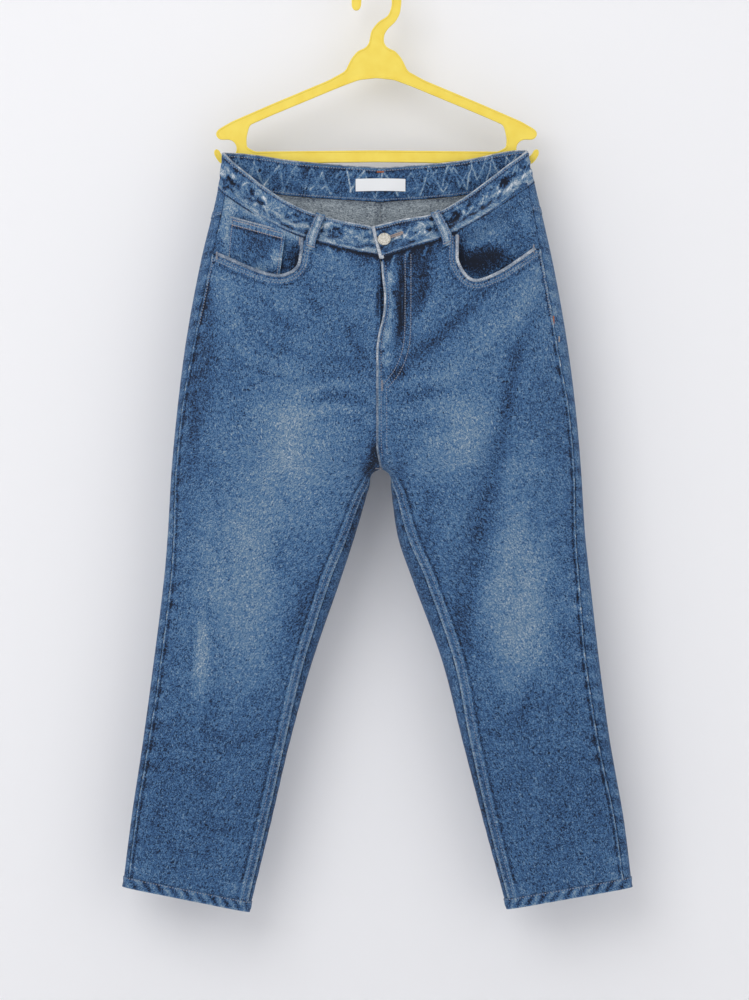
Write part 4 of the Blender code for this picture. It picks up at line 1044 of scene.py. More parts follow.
def make_stitches(part):
    """Turns the rows kept for one part into one mesh."""
    grain = np.array(GRAIN)
    points, fades = [], []
    for middle, run, up, fade, scale in sewing[part]:
        across = np.cross(unit(run), up)
        size = np.array((STITCH_LENGTH, STITCH_WIDTH * scale, STITCH_HEIGHT * scale))
        shape = grain * size
        points.append(
            middle[:, None] + run[:, None] * shape[:, :1]
            + across[:, None] * shape[:, 1:2] + up[:, None] * shape[:, 2:]
        )
        fades.append(np.repeat(fade, len(grain)))
    points = np.concatenate(points)
    count = len(points)
    faces = (np.array(GRAIN_FACES)[None] + np.arange(count)[:, None, None] * len(grain)).reshape(-1, 3)
    points = points.reshape(-1, 3)
    flat = points[:, [0, 2]] * MM
    obj = mesh_of(f"stitches_{part}", points, faces, [SEWING_THREAD], None, np.concatenate(fades), flat)
    made = bmesh.new()
    made.from_mesh(obj.data)
    bmesh.ops.recalc_face_normals(made, faces=made.faces)
    made.to_mesh(obj.data)
    made.free()
    return finish_piece(obj), count


# %% [markdown]
# ## Leg panels
# Four panels make the legs. A front panel runs from the waist seam to the hem, between the fly or the
# inseam and the side seam; a back panel is wider and wraps round both folded edges. The seam allowances
# make raised bands beside the seams, and the front's folded edge lies on the back's.

# %% Leg panels
ROW_STEP = {"front": 2.7, "back": 3.4}
COLUMNS = {"front": 92, "back": 84}
LEVEL_STEP = 3.0
INSEAM_BAND = 11.0
sheets = {}
panels = {}


def dense_ends(count, amount=0.55):
    """Shares from 0 to 1 that are closer together at both ends, where the seams are."""
    t = np.linspace(0, 1, count)
    return t - amount * np.sin(2 * math.pi * t) / (2 * math.pi)


def body_grid(side, start, end, top, bottom, shares, step):
    """The body's form between two seams and two lines of heights."""
    levels = np.arange(-1164.0, -236.0, LEVEL_STEP)
    w, y, lengths, _ = ring(side, levels)
    at = marks(side, levels)
    begin, finish = (at[start] + HALF_GAP)[:, None], (at[end] - HALF_GAP)[:, None]
    along = begin + (finish - begin) * shares
    width = per_row(along, lengths, w)
    depth = per_row(along, lengths, y)
    rows = int((top - bottom).max() / step)
    z = top + (bottom - top) * np.linspace(0, 1, rows)[:, None]
    x = np.stack([np.interp(z[:, c], levels, width[:, c]) for c in range(len(shares))], axis=1)
    y = np.stack([np.interp(z[:, c], levels, depth[:, c]) for c in range(len(shares))], axis=1)
    points = np.stack([CENTRE_X + SIDES[side] * x, y, z], axis=-1)
    middle = smooth_at(DEPTHS, "middle", z)
    outward = np.stack([np.zeros(z.shape), y - middle, np.zeros(z.shape)], axis=-1)
    return grid_of(points, outward)


def front_cloth(side):
    """A front leg panel with its folds, its fly or centre seam, side seam and inseam band."""
    shares = dense_ends(COLUMNS["front"])
    top = waist_line(side, shares, "first", "side_seam")
    bottom = hem_line(side, shares, "first", "side_seam")
    flat = body_grid(side, "first", "side_seam", top, bottom, shares, ROW_STEP["front"])
    lift, fade = folded(flat.points, flat.out)
    x, z = as_seen(flat.points)
    from_side = flat.across[:, -1:] - flat.across
    from_start = flat.across
    down = flat.down
    leg = step_up(-z, -CROTCH - 6, -CROTCH + 10)
    rope_lift, rope_fade = roping(from_side, down, 31)
    lift += rope_lift
    fade += rope_fade * 1.9
    # Painted shade under the waistband's lower edge, along the top of the panel.
    fade -= 0.26 * bump(flat.down - 1.0, 2.6)
    # The folded side edge lies on the back panel: a pale worn lip, with a line of painted shade just inside
    # it at the lip's foot.
    lift += 0.7 * step_up(from_side, 4.0, 1.0)
    fade += 0.26 * bump(from_side, 1.4) - 0.22 * bump(from_side - 3.6, 1.5)
    # The inseam is flat-felled: a raised band with two rows of stitches and dimples between them.
    dimple = 0.5 + 0.5 * np.sin(2 * math.pi * down / 8.6 + 2 * soft_noise(down, 0 * down, 40, 8))
    band = step_up(INSEAM_BAND + 1.2 - from_start, 0, 1.5) * leg
    lift += (0.9 - 0.5 * dimple * bump(from_start - 5.5, 3)) * band
    fade += (0.04 - 0.12 * dimple * bump(from_start - 5.5, 3.2)) * band
    fade += (0.24 * bump(from_start - 0.8, 1.3) + 0.14 * bump(from_start - INSEAM_BAND, 1.3)) * leg
    # Painted shade in a line beside the raised band.
    fade -= 0.17 * bump(from_start - INSEAM_BAND - 3, 2) * leg
    # Above the crotch the left front laps over: its edge is folded under, worn pale and stitched.
    upper = 1 - leg
    if side == "left":
        fade += 0.28 * bump(from_start - 0.6, 1.4) * upper
        spots = soft_noise(x, z, 7.5, 41) * bump(from_start - 9.5, 5.0)
        fade += (0.38 * spots - 0.20 * bump(from_start - 4.2, 1.6)) * upper * step_up(z, -490, -455)
        lift += 0.5 * bump(from_start - 2, 3) * upper
    else:
        # Painted shadow along the right front's edge, under the lap.
        fade -= 0.08 * bump(from_start, 5) * upper
    # The pocket mouth is hemmed and pulled open a little.
    distance, share = near_path(x, z, POCKET_MOUTHS[side], 24)
    lift += 0.8 * step_up(11.5 - distance, 0, 1.5)
    lift += MOUTH_PULL[side] * bump(distance, 15) * step_up(share, 0.2, 0.6)
    tuck = 0.5 + 0.5 * np.sin(2 * math.pi * share * 26)
    # Pale worn tucks on the hem band; painted shade in a line beyond the band's edge and another beside the
    # piped edge.
    fade += (0.02 + 0.15 * tuck) * step_up(10.5 - distance, 0, 2) - 0.12 * bump(distance - 12.5, 2)
    fade -= 0.24 * bump(distance - 3.6, 1.3)
    # Just under the waistband the denim stays dark between pale tips, and a line of painted shade lies right
    # under the band.
    under = flat.down
    tips = soft_noise(flat.across + under * 0.5, 0 * under, 6, 61 if side == "left" else 62)
    tips = step_up(tips, 0.1, 0.8)
    fade += (0.30 * tips - 0.10) * step_up(20 - under, 0, 14) - 0.2 * bump(under, 2.2)
    points = flat.points + flat.out * lift[..., None]
    grid = grid_of(points, flat.out)
    return grid, fade


def back_cloth(side):
    """A back leg panel: it shows on the front as a strip beside each seam."""
    shares = dense_ends(COLUMNS["back"], 0.7)
    top_side, top_centre = YOKE_AT_SIDE[side] - GAP, YOKE_AT_CENTRE - GAP
    top = top_side + (top_centre - top_side) * shares
    bottom = hem_line(side, shares, "side_seam", "last")
    flat = body_grid(side, "side_seam", "last", top, bottom, shares, ROW_STEP["back"])
    lift, fade = folded(flat.points, flat.out)
    z = flat.points[..., 2]
    from_side = flat.across
    from_last = flat.across[:, -1:] - flat.across
    leg = step_up(-z, -CROTCH - 6, -CROTCH + 10)
    lift -= 0.5 * bump(from_side, 3) + 0.3 * bump(from_last, 3) * leg
    blotch = np.sin(2 * math.pi * flat.down / 25 + 2.5 * soft_noise(flat.down, 0 * flat.down, 55, 71))
    # Painted shadow of the front's folded edge along the side seam, with worn blotches beside it.
    fade += -0.24 * bump(from_side - 0.4, 1.5) + (0.08 * blotch + 0.02) * bump(from_side - 8, 8)
    # Painted shade down the inner edge of the leg, below the crotch.
    fade += (-0.16 * bump(from_last, 2.0) - 0.05 * step_up(22 - from_last, 0, 8)) * leg
    rope_lift, rope_fade = roping(from_last, flat.down, 33, reach=12)
    lift += rope_lift * 0.7
    fade += rope_fade
    seat = (1 - leg) * step_up(11 - from_last, 0, 1.5)
    lift += 0.7 * seat
    points = flat.points + flat.out * lift[..., None]
    return grid_of(points, flat.out), fade


MOUTH_PULL = {"right": 0.8, "left": 2.2}
for side in SIDES:
    for kind, make in (("front", front_cloth), ("back", back_cloth)):
        grid, fade = make(side)
        panels[kind, side] = (grid, fade)
        piece = cloth(f"{kind}_leg_{side}", grid, DENIM, [DENIM_FACE, DENIM_BACK], fade, inside=0.5)
        finish_piece(piece, [f"{kind}_{side}"])
        wide = grid.across[:, -1].max() * MM
        long = grid.down[-1].max() * MM
        down_step = grid.points[1:, :-1] - grid.points[:-1, :-1]
        across_step = grid.points[:-1, 1:] - grid.points[:-1, :-1]
        area = float(np.linalg.norm(np.cross(down_step, across_step), axis=2).sum()) * MM * MM
        sheets[piece.name] = (piece, (wide, long), area)
        print(piece.name, "grid", grid.points.shape[:2], "flat", round(wide, 3), "x", round(long, 3))

# %% [markdown]
# ## Pocket mouths
# The corner of each front panel is cut away in a curve before it is hemmed. The cut is made with a prism
# of that shape, as with scissors through both faces at once.

# %% Cutting the pocket mouths
def pocket_cutter(side):
    sign = SIDES[side]
    mouth = smooth_line(POCKET_MOUTHS[side], 60)
    far = 5000.0 / (5000.0 - 45.0)
    mouth = np.stack([EYE_X + (mouth[:, 0] - EYE_X) / far, EYE_Z + (mouth[:, 1] - EYE_Z) / far], axis=1)
    beyond = 90.0
    above, outer = mouth[-1, 1] + beyond, mouth[0, 0] + sign * beyond
    loop = [*mouth, (mouth[-1, 0], above), (outer, above), (outer, mouth[0, 1])]
    count = len(loop)
    points = [(x, y, z) for y in (-150.0, 10.0) for x, z in loop]
    mesh = bpy.data.meshes.new("cutter")
    faces = [tuple(range(count)), tuple(range(2 * count - 1, count - 1, -1))]
    faces += [(i, (i + 1) % count, count + (i + 1) % count, count + i) for i in range(count)]
    mesh.from_pydata((np.array(points) * MM).tolist(), [], faces)
    made = bmesh.new()
    made.from_mesh(mesh)
    bmesh.ops.recalc_face_normals(made, faces=made.faces)
    made.to_mesh(mesh)
    made.free()
    return bpy.data.objects.new(f"cutter_{side}", mesh)


for side in SIDES:
    panel = bpy.data.objects[f"front_leg_{side}"]
    cutter = pocket_cutter(side)
    SCENE.objects.link(cutter)
    cut = panel.modifiers.new("pocket mouth", "BOOLEAN")
    cut.object = cutter
    cut.operation = "DIFFERENCE"
    bpy.ops.object.select_all(action="DESELECT")
    panel.select_set(True)
    bpy.context.view_layer.objects.active = panel
    bpy.ops.object.modifier_apply(modifier=cut.name)
    bpy.data.objects.remove(cutter)
    print(panel.name, "after the cut:", len(panel.data.polygons), "faces")


def on_front(x, z, lift=0.0):
    """Points of the folded front cloth at places as seen, and the way the cloth faces there."""
    x, z = np.asarray(x, float), np.asarray(z, float)
    points, out = lie_on("front", x, z, np.zeros(x.shape))
    for _ in range(2):
        far = 5000.0 / (5000.0 + points[..., 1])
        true_x, true_z = EYE_X + (x - EYE_X) / far, EYE_Z + (z - EYE_Z) / far
        points, out = lie_on("front", true_x, true_z, np.zeros(x.shape))
    height = relief("front", x, z)[0] * np.clip(np.abs(out[..., 1]) * 1.4, 0, 1)
    for side in SIDES:
        distance, share = near_path(x.ravel(), z.ravel(), POCKET_MOUTHS[side], 24)
        pull = MOUTH_PULL[side] * bump(distance, 15) * step_up(share, 0.2, 0.6)
        height = height + (0.8 * step_up(11.5 - distance, 0, 1.5) + pull).reshape(x.shape)
    return points + out * (height + lift)[..., None], out


def beside(line, distance):
    """A line in the front view moved sideways, to its left as it runs."""
    run = unit(np.gradient(line, axis=0))
    return line + np.stack([-run[:, 1], run[:, 0]], axis=1) * distance


for side in SIDES:
    turn = 1 if side == "left" else -1
    mouth = smooth_line(POCKET_MOUTHS[side], 90)
    path, out = on_front(mouth[:, 0], mouth[:, 1], 0.2)
    fade = 0.38 + 0.16 * soft_noise(np.arange(90), 0, 5, 3) + (0.20 if side == "left" else 0.0)
    edge = strip(f"pocket_edge_{side}", path, out, 4.0, 1.3, WORN_EDGE, fade)
    finish_piece(edge)
    for distance in (5.4, 9.0):
        line = beside(mouth, turn * distance)
        path, out = on_front(line[:, 0], line[:, 1], 0.15)
        sew(f"pocket_{side}", path, out, 0.42)

# %% [markdown]
# ## Behind the pocket mouths
# Behind each mouth is a facing of denim sewn on the pocket bag. It hangs a few millimetres behind the
# panel, and its colour is darkened near the mouth as painted shadow, so the mouth shows dark. The right one
# carries the small coin pocket.

# %% Facings and coin pocket
def facing_grid(side):
    p, q = np.meshgrid(np.linspace(0, 1, 56), np.linspace(0, 1, 48))
    inner_width = abs(POCKET_MOUTHS[side][-1][0] - CENTRE_X) - 14
    widths = inner_width + (edges_of(side, FACING_FOOT)[1] - 24 - inner_width) * p[0]
    top = np.full(widths.shape, band_at(side, 0.7, "seam"))
    for _ in range(6):
        top = band_at(side, band_share(side, top, length_at(side, top, widths)), "seam")
    bottom = FACING_FOOT + 26 * p**2
    top = top - 2 * GAP
    z = top + (bottom - top) * q
    outer = edges_of(side, z)[1] - smooth_at(SECTIONS[side], "side_seam", z) - HALF_GAP
    width = inner_width + (outer - inner_width) * p
    sag = np.sin(math.pi * p) * np.sin(0.75 * math.pi * q)
    # It is sewn in at the waist and at the side seam, and sinks behind the panel away from them.
    held = step_up(q, 0, 0.3) * step_up(1 - p, 0.0, 0.3)
    lift = -(FACING_SINK + 1.2 + FACING_SAG[side] * sag) * held + 0.5 * soft_noise(width, z, 17, 4)
    points, out = lie_on("front", CENTRE_X + SIDES[side] * width, z, lift)
    return grid_of(points, out)


WearAndShade = namedtuple("WearAndShade", "x z half_width half_height lean fade")
# Where the facings and the coin pocket are rubbed pale, and where they lie in shadow, painted on as darker
# colour
WEAR_AND_SHADE = {
    "right": (
        WearAndShade(-186, -300, 9, 40, 0, 0.25),
        WearAndShade(-150, -283, 36, 9, -22, 0.22), WearAndShade(-105, -310, 12, 10, 0, 0.24),
        WearAndShade(-98, -345, 12, 22, 10, -0.34),
        WearAndShade(-128, -352, 16, 12, 0, -0.26), WearAndShade(-196, -330, 8, 20, 0, -0.10),
    ),
    "left": (
        WearAndShade(122, -318, 24, 9, 20, 0.16),
        WearAndShade(150, -300, 22, 14, 25, 0.08), WearAndShade(124, -344, 22, 14, -20, -0.42),
        WearAndShade(150, -338, 20, 10, -30, -0.30),
        WearAndShade(190, -285, 10, 26, 8, 0.06), WearAndShade(105, -330, 6, 30, 0, -0.2),
    ),
    "coin": (
        WearAndShade(-152, -358, 20, 7, 25, 0.34),
        WearAndShade(-125, -338, 10, 9, 25, 0.30), WearAndShade(-150, -325, 30, 14, 0, -0.10),
        WearAndShade(-132, -358, 12, 9, 0, -0.10), WearAndShade(-178, -325, 8, 26, 0, 0.06),
    ),
}


def worn_and_shaded(name, x, z, base):
    fade = base + 0.05 * soft_noise(x, z, 9, 51) + 0.04 * soft_noise(x, z, 4, 52)
    for row in WEAR_AND_SHADE[name]:
        lean = math.radians(row.lean)
        across = (x - row.x) * math.cos(lean) + (z - row.z) * math.sin(lean)
        up = (z - row.z) * math.cos(lean) - (x - row.x) * math.sin(lean)
        fade = fade + row.fade * np.exp(-(across / row.half_width) ** 2 - (up / row.half_height) ** 2)
    return fade


for side in SIDES:
    grid = facing_grid(side)
    x, z = as_seen(grid.points)
    fade = worn_and_shaded(side, x, z, 0.33 if side == "right" else 0.27)
    piece = cloth(f"pocket_facing_{side}", grid, PATCH_WALL, [DENIM_FACE, DENIM_BACK], fade)
    finish_piece(piece, [f"facing_{side}"])
    sheets[piece.name] = (piece, (grid.across[:, -1].max() * MM, grid.down[-1].max() * MM), None)

COIN_TOP = ((-181.9, -290.6), (-112.3, -309.9))
COIN_FOOT = ((-187.5, -348.0), (-121.0, -369.0))
p, q = np.meshgrid(np.linspace(0, 1, 44), np.linspace(0, 1, 40))
coin_x, coin_z = (
    (COIN_TOP[0][k] * (1 - p) + COIN_TOP[1][k] * p) * (1 - q)
    + (COIN_FOOT[0][k] * (1 - p) + COIN_FOOT[1][k] * p) * q
    for k in (0, 1)
)
hemmed = step_up(0.17 - q, 0, 0.03)
coin_lift = -FACING_SINK + 3.4 + 0.6 * hemmed + 0.5 * soft_noise(coin_x, coin_z, 16, 9)
risen = step_up(1 - q, 0, 0.5)
points, out = lie_on("front", coin_x, coin_z, coin_lift * risen - FACING_SINK * (1 - risen))
coin = grid_of(points, out)
fade = worn_and_shaded("coin", *as_seen(coin.points), 0.28) + 0.14 * hemmed
fade = fade + 0.22 * bump(p, 0.03) + 0.22 * bump(1 - p, 0.03)
fade = fade + 0.14 * hemmed * np.sin(2 * math.pi * p * 14) - 0.22 * bump(q - 0.19, 0.025)
piece = cloth("coin_pocket_cloth", coin, 1.2, [DENIM_FACE, DENIM_BACK], fade)
finish_piece(piece, ["coin_pocket"])
sheets[piece.name] = (piece, (coin.across[:, -1].max() * MM, coin.down[-1].max() * MM), None)
for row in (2, 6):
    sew("coin_pocket", coin.points[row, 2:-2], coin.out[row, 2:-2], 0.62, pitch=2.6)
for column in (2, 41):
    sew("coin_pocket", coin.points[3:, column], coin.out[3:, column], 0.45, pitch=2.8)
top_edge = coin.points[0] + coin.out[0] * 0.2
finish_piece(strip("coin_pocket_edge", top_edge, coin.out[0], 2.2, 0.8, WORN_EDGE, 0.5))

# %% [markdown]
# ## Yokes and back pockets
# The back is shaped by a yoke, a wedge of denim deepest at the centre back, and carries two patch pockets
# with pointed feet. From the front only the inside of the yokes shows, grey with its felled centre seam.

# %% Yokes and back pockets
for side in SIDES:
    shares = dense_ends(70, 0.5)
    top = waist_line(side, shares, "side_seam", "last")
    bottom = YOKE_AT_SIDE[side] * (1 - shares) + YOKE_AT_CENTRE * shares
    flat = body_grid(side, "side_seam", "last", top, bottom, shares, 2.8)
    lift, fade = folded(flat.points, flat.out)
    fade = fade + 0.03 - 0.2 * bump(flat.across, 1.5)
    fade = fade + 0.08 * step_up(soft_noise(flat.across, 0, 9, 5), 0, 1)
    from_foot = flat.down[-1] - flat.down
    lift = lift + 0.6 * step_up(9 - from_foot, 0, 1.5)
    fade = fade + 0.10 * bump(from_foot, 2)
    grid = grid_of(flat.points + flat.out * lift[..., None], flat.out)
    from_centre = flat.across[:, -1:] - flat.across
    seam = step_up(9 - from_centre, 0, 2) if side == "right" else 1.4 * bump(from_centre, 2.0)
    inside = 0.62 + 0.10 * soft_noise(flat.across, flat.down, 14, 6)
    inside = inside - 0.20 * step_up(7 - flat.down, 0, 6) - 0.17 * seam
    piece = cloth(f"back_yoke_{side}", grid, DENIM, [DENIM_FACE, DENIM_BACK], fade, inside=inside)
    finish_piece(piece, [f"yoke_{side}"])
    area = grid.across[:, -1].mean() * grid.down[-1].mean() * MM * MM
    sheets[piece.name] = (piece, (grid.across[:, -1].max() * MM, grid.down[-1].max() * MM), area)
    for distance in (3, 9):
        row = len(grid.points) - 1 - int(distance / 2.8)
        sew(f"back_{side}", grid.points[row], grid.out[row], 0.35)
        column = -1 - int(distance)
        sew(f"back_{side}", flat.points[:, column], flat.out[:, column], 0.35, lift=0.6)

for side in SIDES:
    sign = SIDES[side]
    p, q = np.meshgrid(np.linspace(-1, 1, 60), np.linspace(0, 1, 62))
    half = 71 - 9 * q
    top = -378.0 + 7 * p
    foot = -378.0 - 138.0 - 22 * (1 - np.abs(p))
    x = CENTRE_X + sign * (108.0 + half * p)
    z = top + (foot - top) * q
    edge = np.minimum(np.minimum(1 - np.abs(p), 1.0) * half, np.minimum(q * 140 + 3, (1 - q) * 140))
    lift = relief("back", x, z)[0] + PATCH_WALL + GAP + 0.9
    lift = lift + 0.5 * bump(edge - 4, 3) + 0.4 * soft_noise(x, z, 24, 7)
    points, out = lie_on("back", x, z, lift)
    grid = grid_of(points, out)
    fade = base_fade(z) + relief("back", x, z)[1] + 0.16 * bump(edge, 2) - 0.07 * bump(edge - 11, 3)
    fade = fade + 0.05 * soft_noise(x, z, 10, 8) + 0.08 * step_up(0.12 - q, 0, 0.02)
    piece = cloth(f"back_patch_{side}", grid, PATCH_WALL + 0.6, [DENIM_FACE, DENIM_BACK], fade)
    finish_piece(piece, [f"back_pocket_{side}"])
    sheets[piece.name] = (piece, (grid.across[:, -1].max() * MM, grid.down[-1].max() * MM), None)
    for inset in (1, 4):
        sew(f"back_{side}", grid.points[:-inset, inset], grid.out[:-inset, inset], 0.45)
        sew(f"back_{side}", grid.points[:-inset, -1 - inset], grid.out[:-inset, -1 - inset], 0.45)
        sew(f"back_{side}", grid.points[-1 - inset, inset:-inset], grid.out[-1 - inset, inset:-inset], 0.45)
        sew(f"back_{side}", grid.points[inset * 2, 1:-1], grid.out[inset * 2, 1:-1], 0.45)
    for column in (1, -2):
        tack(f"back_{side}", grid.points[1, column], (0, 0, 1), grid.out[1, column], 6, 2.2, 0.9)

# %% [markdown]
# ## Hems
# Each leg ends in a narrow hem: the cloth is turned up twice and stitched through. The feed of the machine
# twists it a little, so in the wash slanting puckers form, pale on top and dark between.

# %% Hems
HEM_PUCKER = 16.0
for side in SIDES:
    count = 210
    share = np.linspace(0, 1, count)
    rows = []
    for up in np.linspace(HEM_DEPTH, 0, 11):
        z = np.full(count, HEM_ENDS[side][0] + up)
        for _ in range(4):
            w, y, lengths, samples = ring(side, z)
            along = lengths[:, 0] + (lengths[:, 2 * samples - 2] - lengths[:, 0]) * share
            width = per_row(along, lengths, w)
            z = hem_height(side, width, z) + up
        rows.append(np.stack([CENTRE_X + SIDES[side] * width, per_row(along, lengths, y), z], axis=1))
    points = np.array(rows)
    middle = points.copy()
    middle[..., 0] = points[..., 0].mean()
    middle[..., 1] = -25
    flat = grid_of(points, points - middle)
    down = flat.down
    phase = (flat.across + down * 0.9) / HEM_PUCKER + 0.4 * soft_noise(flat.across, 0 * down, 45, 91)
    wave = np.sin(2 * math.pi * phase)
    ends = np.sin(math.pi * np.clip(down / down.max(), 0, 1))
    lift = HEM_LIFT + 0.45 + 0.55 * wave * (0.3 + 0.7 * ends)
    fade = LOW_FADE + 0.03 + 0.15 * wave + 0.16 * bump(down - down.max(), 1.8) + 0.10 * bump(down, 1.2)
    fade = fade + 0.05 * soft_noise(flat.across, down, 7, 92) - 0.12 * bump(down - 0.2, 0.9)
    grid = grid_of(flat.points + flat.out * lift[..., None], flat.out)
    piece = cloth(f"hem_band_{side}", grid, HEM_WALL, [DENIM_FACE, DENIM_FACE], fade, inside=0.42)
    finish_piece(piece, [f"hem_{side}"])
    sheets[piece.name] = (piece, (grid.across[:, -1].mean() * MM, HEM_DEPTH * MM * 1.05), None)
    sew(f"hem_{side}", grid.points[1], grid.out[1], 0.42)
    print(piece.name, "girth", round(float(grid.across[:, -1].mean())), "mm")

# %% [markdown]
# ## Waistband
# One long strip is folded over the tops of the panels and stitched along both edges. It is stiff from
# several layers, so it buckles along its middle, and washing marks the buckles as pale cracks: slanting
# ones outside, long zigzags inside the back. Its left end laps over the right one at the button.

# %% Waistband
BAND_FINE = 900
BAND_LINES = 26
Crack = namedtuple("Crack", "first last angle length count fade seed")
# Places are shares round one half: 0 centre front, 1 side edge, 2 centre back
CRACKS = (
    Crack(0.05, 1.0, 35, 17, 34, 0.40, 1), Crack(0.06, 1.0, -40, 12, 22, 0.34, 2),
    Crack(0.05, 0.5, 80, 12, 9, 0.36, 7), Crack(0.9, 2.0, 75, 12, 40, 0.30, 3),
)
Crinkle = namedtuple("Crinkle", "first last stride low high fade seed")
CRINKLES = (
    Crinkle(0.95, 2.0, 13, 7, 37, 0.62, 4),
    Crinkle(1.0, 2.0, 19, 13, 39, 0.50, 5), Crinkle(0.5, 1.0, 12, 9, 34, 0.36, 6),
)


def cracks(share, up, seed_shift):
    """Pale cracks on the waistband: short lines scattered by the listed density, angle and length."""
    fade = np.zeros(share.shape)
    for row in CRACKS:
        random = np.random.default_rng(row.seed + seed_shift)
        spread = (np.arange(row.count) + random.uniform(0.1, 0.9, row.count)) / row.count
        for k in range(row.count):
            centre = row.first + (row.last - row.first) * spread[k]
            middle = 21 + random.uniform(-1, 1) * max(2.0, 18 - row.length / 2)
            lean = math.radians(row.angle + random.uniform(-14, 14))
            long = row.length * random.uniform(0.6, 1.1) / 2
            x, z = (share - centre) * 230.0, up - middle
            near = (np.abs(x) < long + 6) & (np.abs(z) < long + 6)
            x, z = x[near], z[near]
            along = x * math.cos(lean) + z * math.sin(lean)
            across = z * math.cos(lean) - x * math.sin(lean) + 0.7 * np.sin(along / 5.0 + k)
            line = bump(across, 1.05) * step_up(long - np.abs(along), 0, 3) * random.uniform(0.5, 1.1)
            fade[near] = np.maximum(fade[near], row.fade * line)
    return fade


def crinkles(share, up, seed_shift):
    """Long pale zigzags inside the band, each bending near one of its edges and then near the other."""
    fade = np.zeros(share.shape)
    for row in CRINKLES:
        random = np.random.default_rng(row.seed + seed_shift)
        count = int((row.last - row.first) * 220 / row.stride)
        bends = np.cumsum(random.uniform(0.35, 1.65, count)) * row.stride
        heights = np.where(np.arange(count) % 2, row.low, row.high) + random.uniform(-5, 5, count)
        strength = random.uniform(0.35, 1.1, count)
        for k in range(count - 1):
            x, z = (share - row.first) * 220 - bends[k], up - heights[k]
            near = (x > -3) & (x < bends[k + 1] - bends[k] + 3)
            step = np.array([bends[k + 1] - bends[k], heights[k + 1] - heights[k]])
            long = np.hypot(*step)
            along = np.clip((x[near] * step[0] + z[near] * step[1]) / long, 0, long)
            bow = 1.6 * np.sin(math.pi * along / long) * (1 if k % 3 else -1)
            away = np.hypot(x[near] - step[0] * along / long + bow, z[near] - step[1] * along / long)
            fade[near] = np.maximum(fade[near], row.fade * strength[k] * bump(away, 1.05))
    return fade


def waistband_run():
    """Stations round the strip: side, share and how far the underlap is sunk behind the lap."""
    run = [("left", u, UNDERLAP_DROP) for u in np.linspace(OVERLAP / 212.0, 0.10, 12)]
    t = np.linspace(0, 2, BAND_FINE // 2)
    for share in t:
        run.append(("right", share, UNDERLAP_DROP * float(np.clip(1.6 - share * 11, 0, 1))))
    for share in t[::-1][1:]:
        run.append(("left", max(share, 0.001), 0.0))
    return run


def waistband_points(run):
    lows, highs = np.zeros((len(run), 3)), np.zeros((len(run), 3))
    for side in SIDES:
        picked = [i for i, r in enumerate(run) if r[0] == side]
        low, high = band_frame(side, [run[i][1] for i in picked])
        lows[picked], highs[picked] = low, high
    return lows, highs


def waistband_facing(run, low, high):
    """The way the band faces at each station, from how its edges run there."""
    step = 0.006
    out = np.zeros((len(run), 3))
    for side in SIDES:
        picked = [i for i, r in enumerate(run) if r[0] == side]
        shares = np.array([run[i][1] for i in picked])
        ahead, behind = (np.clip(shares + s, -0.2, 2.0) for s in (step, -step))
        (low_a, high_a), (low_b, high_b) = band_frame(side, ahead), band_frame(side, behind)
        out[picked] = np.cross(high[picked] - low[picked], low_a + high_a - low_b - high_b) * -SIDES[side]
    return unit(out)


run = waistband_run()
low, high = waistband_points(run)
out = waistband_facing(run, low, high)
if out[len(run) // 2, 1] < 0:
    out = -out
level = unit(out * (1, 1, 0))
share = np.array([r[1] for r in run])
sunk = np.array([r[2] for r in run])
half = np.array([SIDES[r[0]] for r in run])
front_share = step_up(1.02 - share, 0, 0.1)
length = np.concatenate([[0], np.cumsum(np.linalg.norm(np.diff((low + high) / 2, axis=0), axis=1))])
rows = []
for r in np.linspace(0, 1, BAND_LINES):
    groove = BAND_GROOVE * math.sin(math.pi * r) ** 4 * front_share
    wall = unit(level + (out - level) * min(1.0, 2 * r))
    rows.append(low + (high - low) * r - wall * (sunk + groove)[:, None])
band = grid_of(np.array(rows[::-1]), np.broadcast_to(out, (BAND_LINES, *out.shape)))
up = np.linspace(1, 0, BAND_LINES)[:, None] * np.linalg.norm(high - low, axis=1)
tall = np.linalg.norm(high - low, axis=1)[None]
shares = np.broadcast_to(share, up.shape)
run_at = np.broadcast_to(length, up.shape)
outer_cracks = np.where(half > 0, cracks(shares, up, 0), cracks(shares, up, 20))
inner_cracks = np.where(half > 0, crinkles(shares, up, 0), crinkles(shares, up, 20))
buckle = soft_noise(run_at, up * 2.2, 15, 101) * 0.9 + soft_noise(run_at, up * 1.5, 6, 102) * 0.65
body = np.sin(math.pi * np.clip(up / tall, 0, 1)) ** 0.7
lift = 0.9 * buckle * body + 0.4 * bump(up - 1.5, 1.5) + 0.4 * bump(tall - up - 1.5, 1.5)
fold_at = tall * (0.56 + 0.05 * soft_noise(run_at, 0 * up, 40, 103))
fold = bump(up - fold_at, 3.0) * front_share * step_up(shares, 0.12, 0.3)
lift = lift - 1.1 * fold
side_band = np.where(half > 0, 0.03, 0.07)
fade = 0.305 + side_band + 0.42 * buckle * body + outer_cracks
fade = fade - 0.24 * fold * (0.6 + 0.6 * soft_noise(run_at, 0 * up, 12, 104))
dark_spots = step_up(soft_noise(run_at, 0 * up, 9, 105), -0.2, 0.7)
fade = fade - 0.13 * bump(up - tall * 0.72, 4.0) * dark_spots * front_share
# Along both edges: painted shade in the groove at the lower seam and in a line just under the top edge, and
# pale worn lines beside them.
fade = fade - 0.34 * bump(up - 0.4, 1.7) - 0.26 * bump(tall - up - 4.4, 1.6)
fade = fade + 0.30 * bump(up - 4.2, 1.5) + 0.20 * bump(tall - up - 1.5, 1.4)
near_button = bump((shares - 0.02) * 212, 40) * (half > 0)
fade = fade - 0.13 * near_button * body
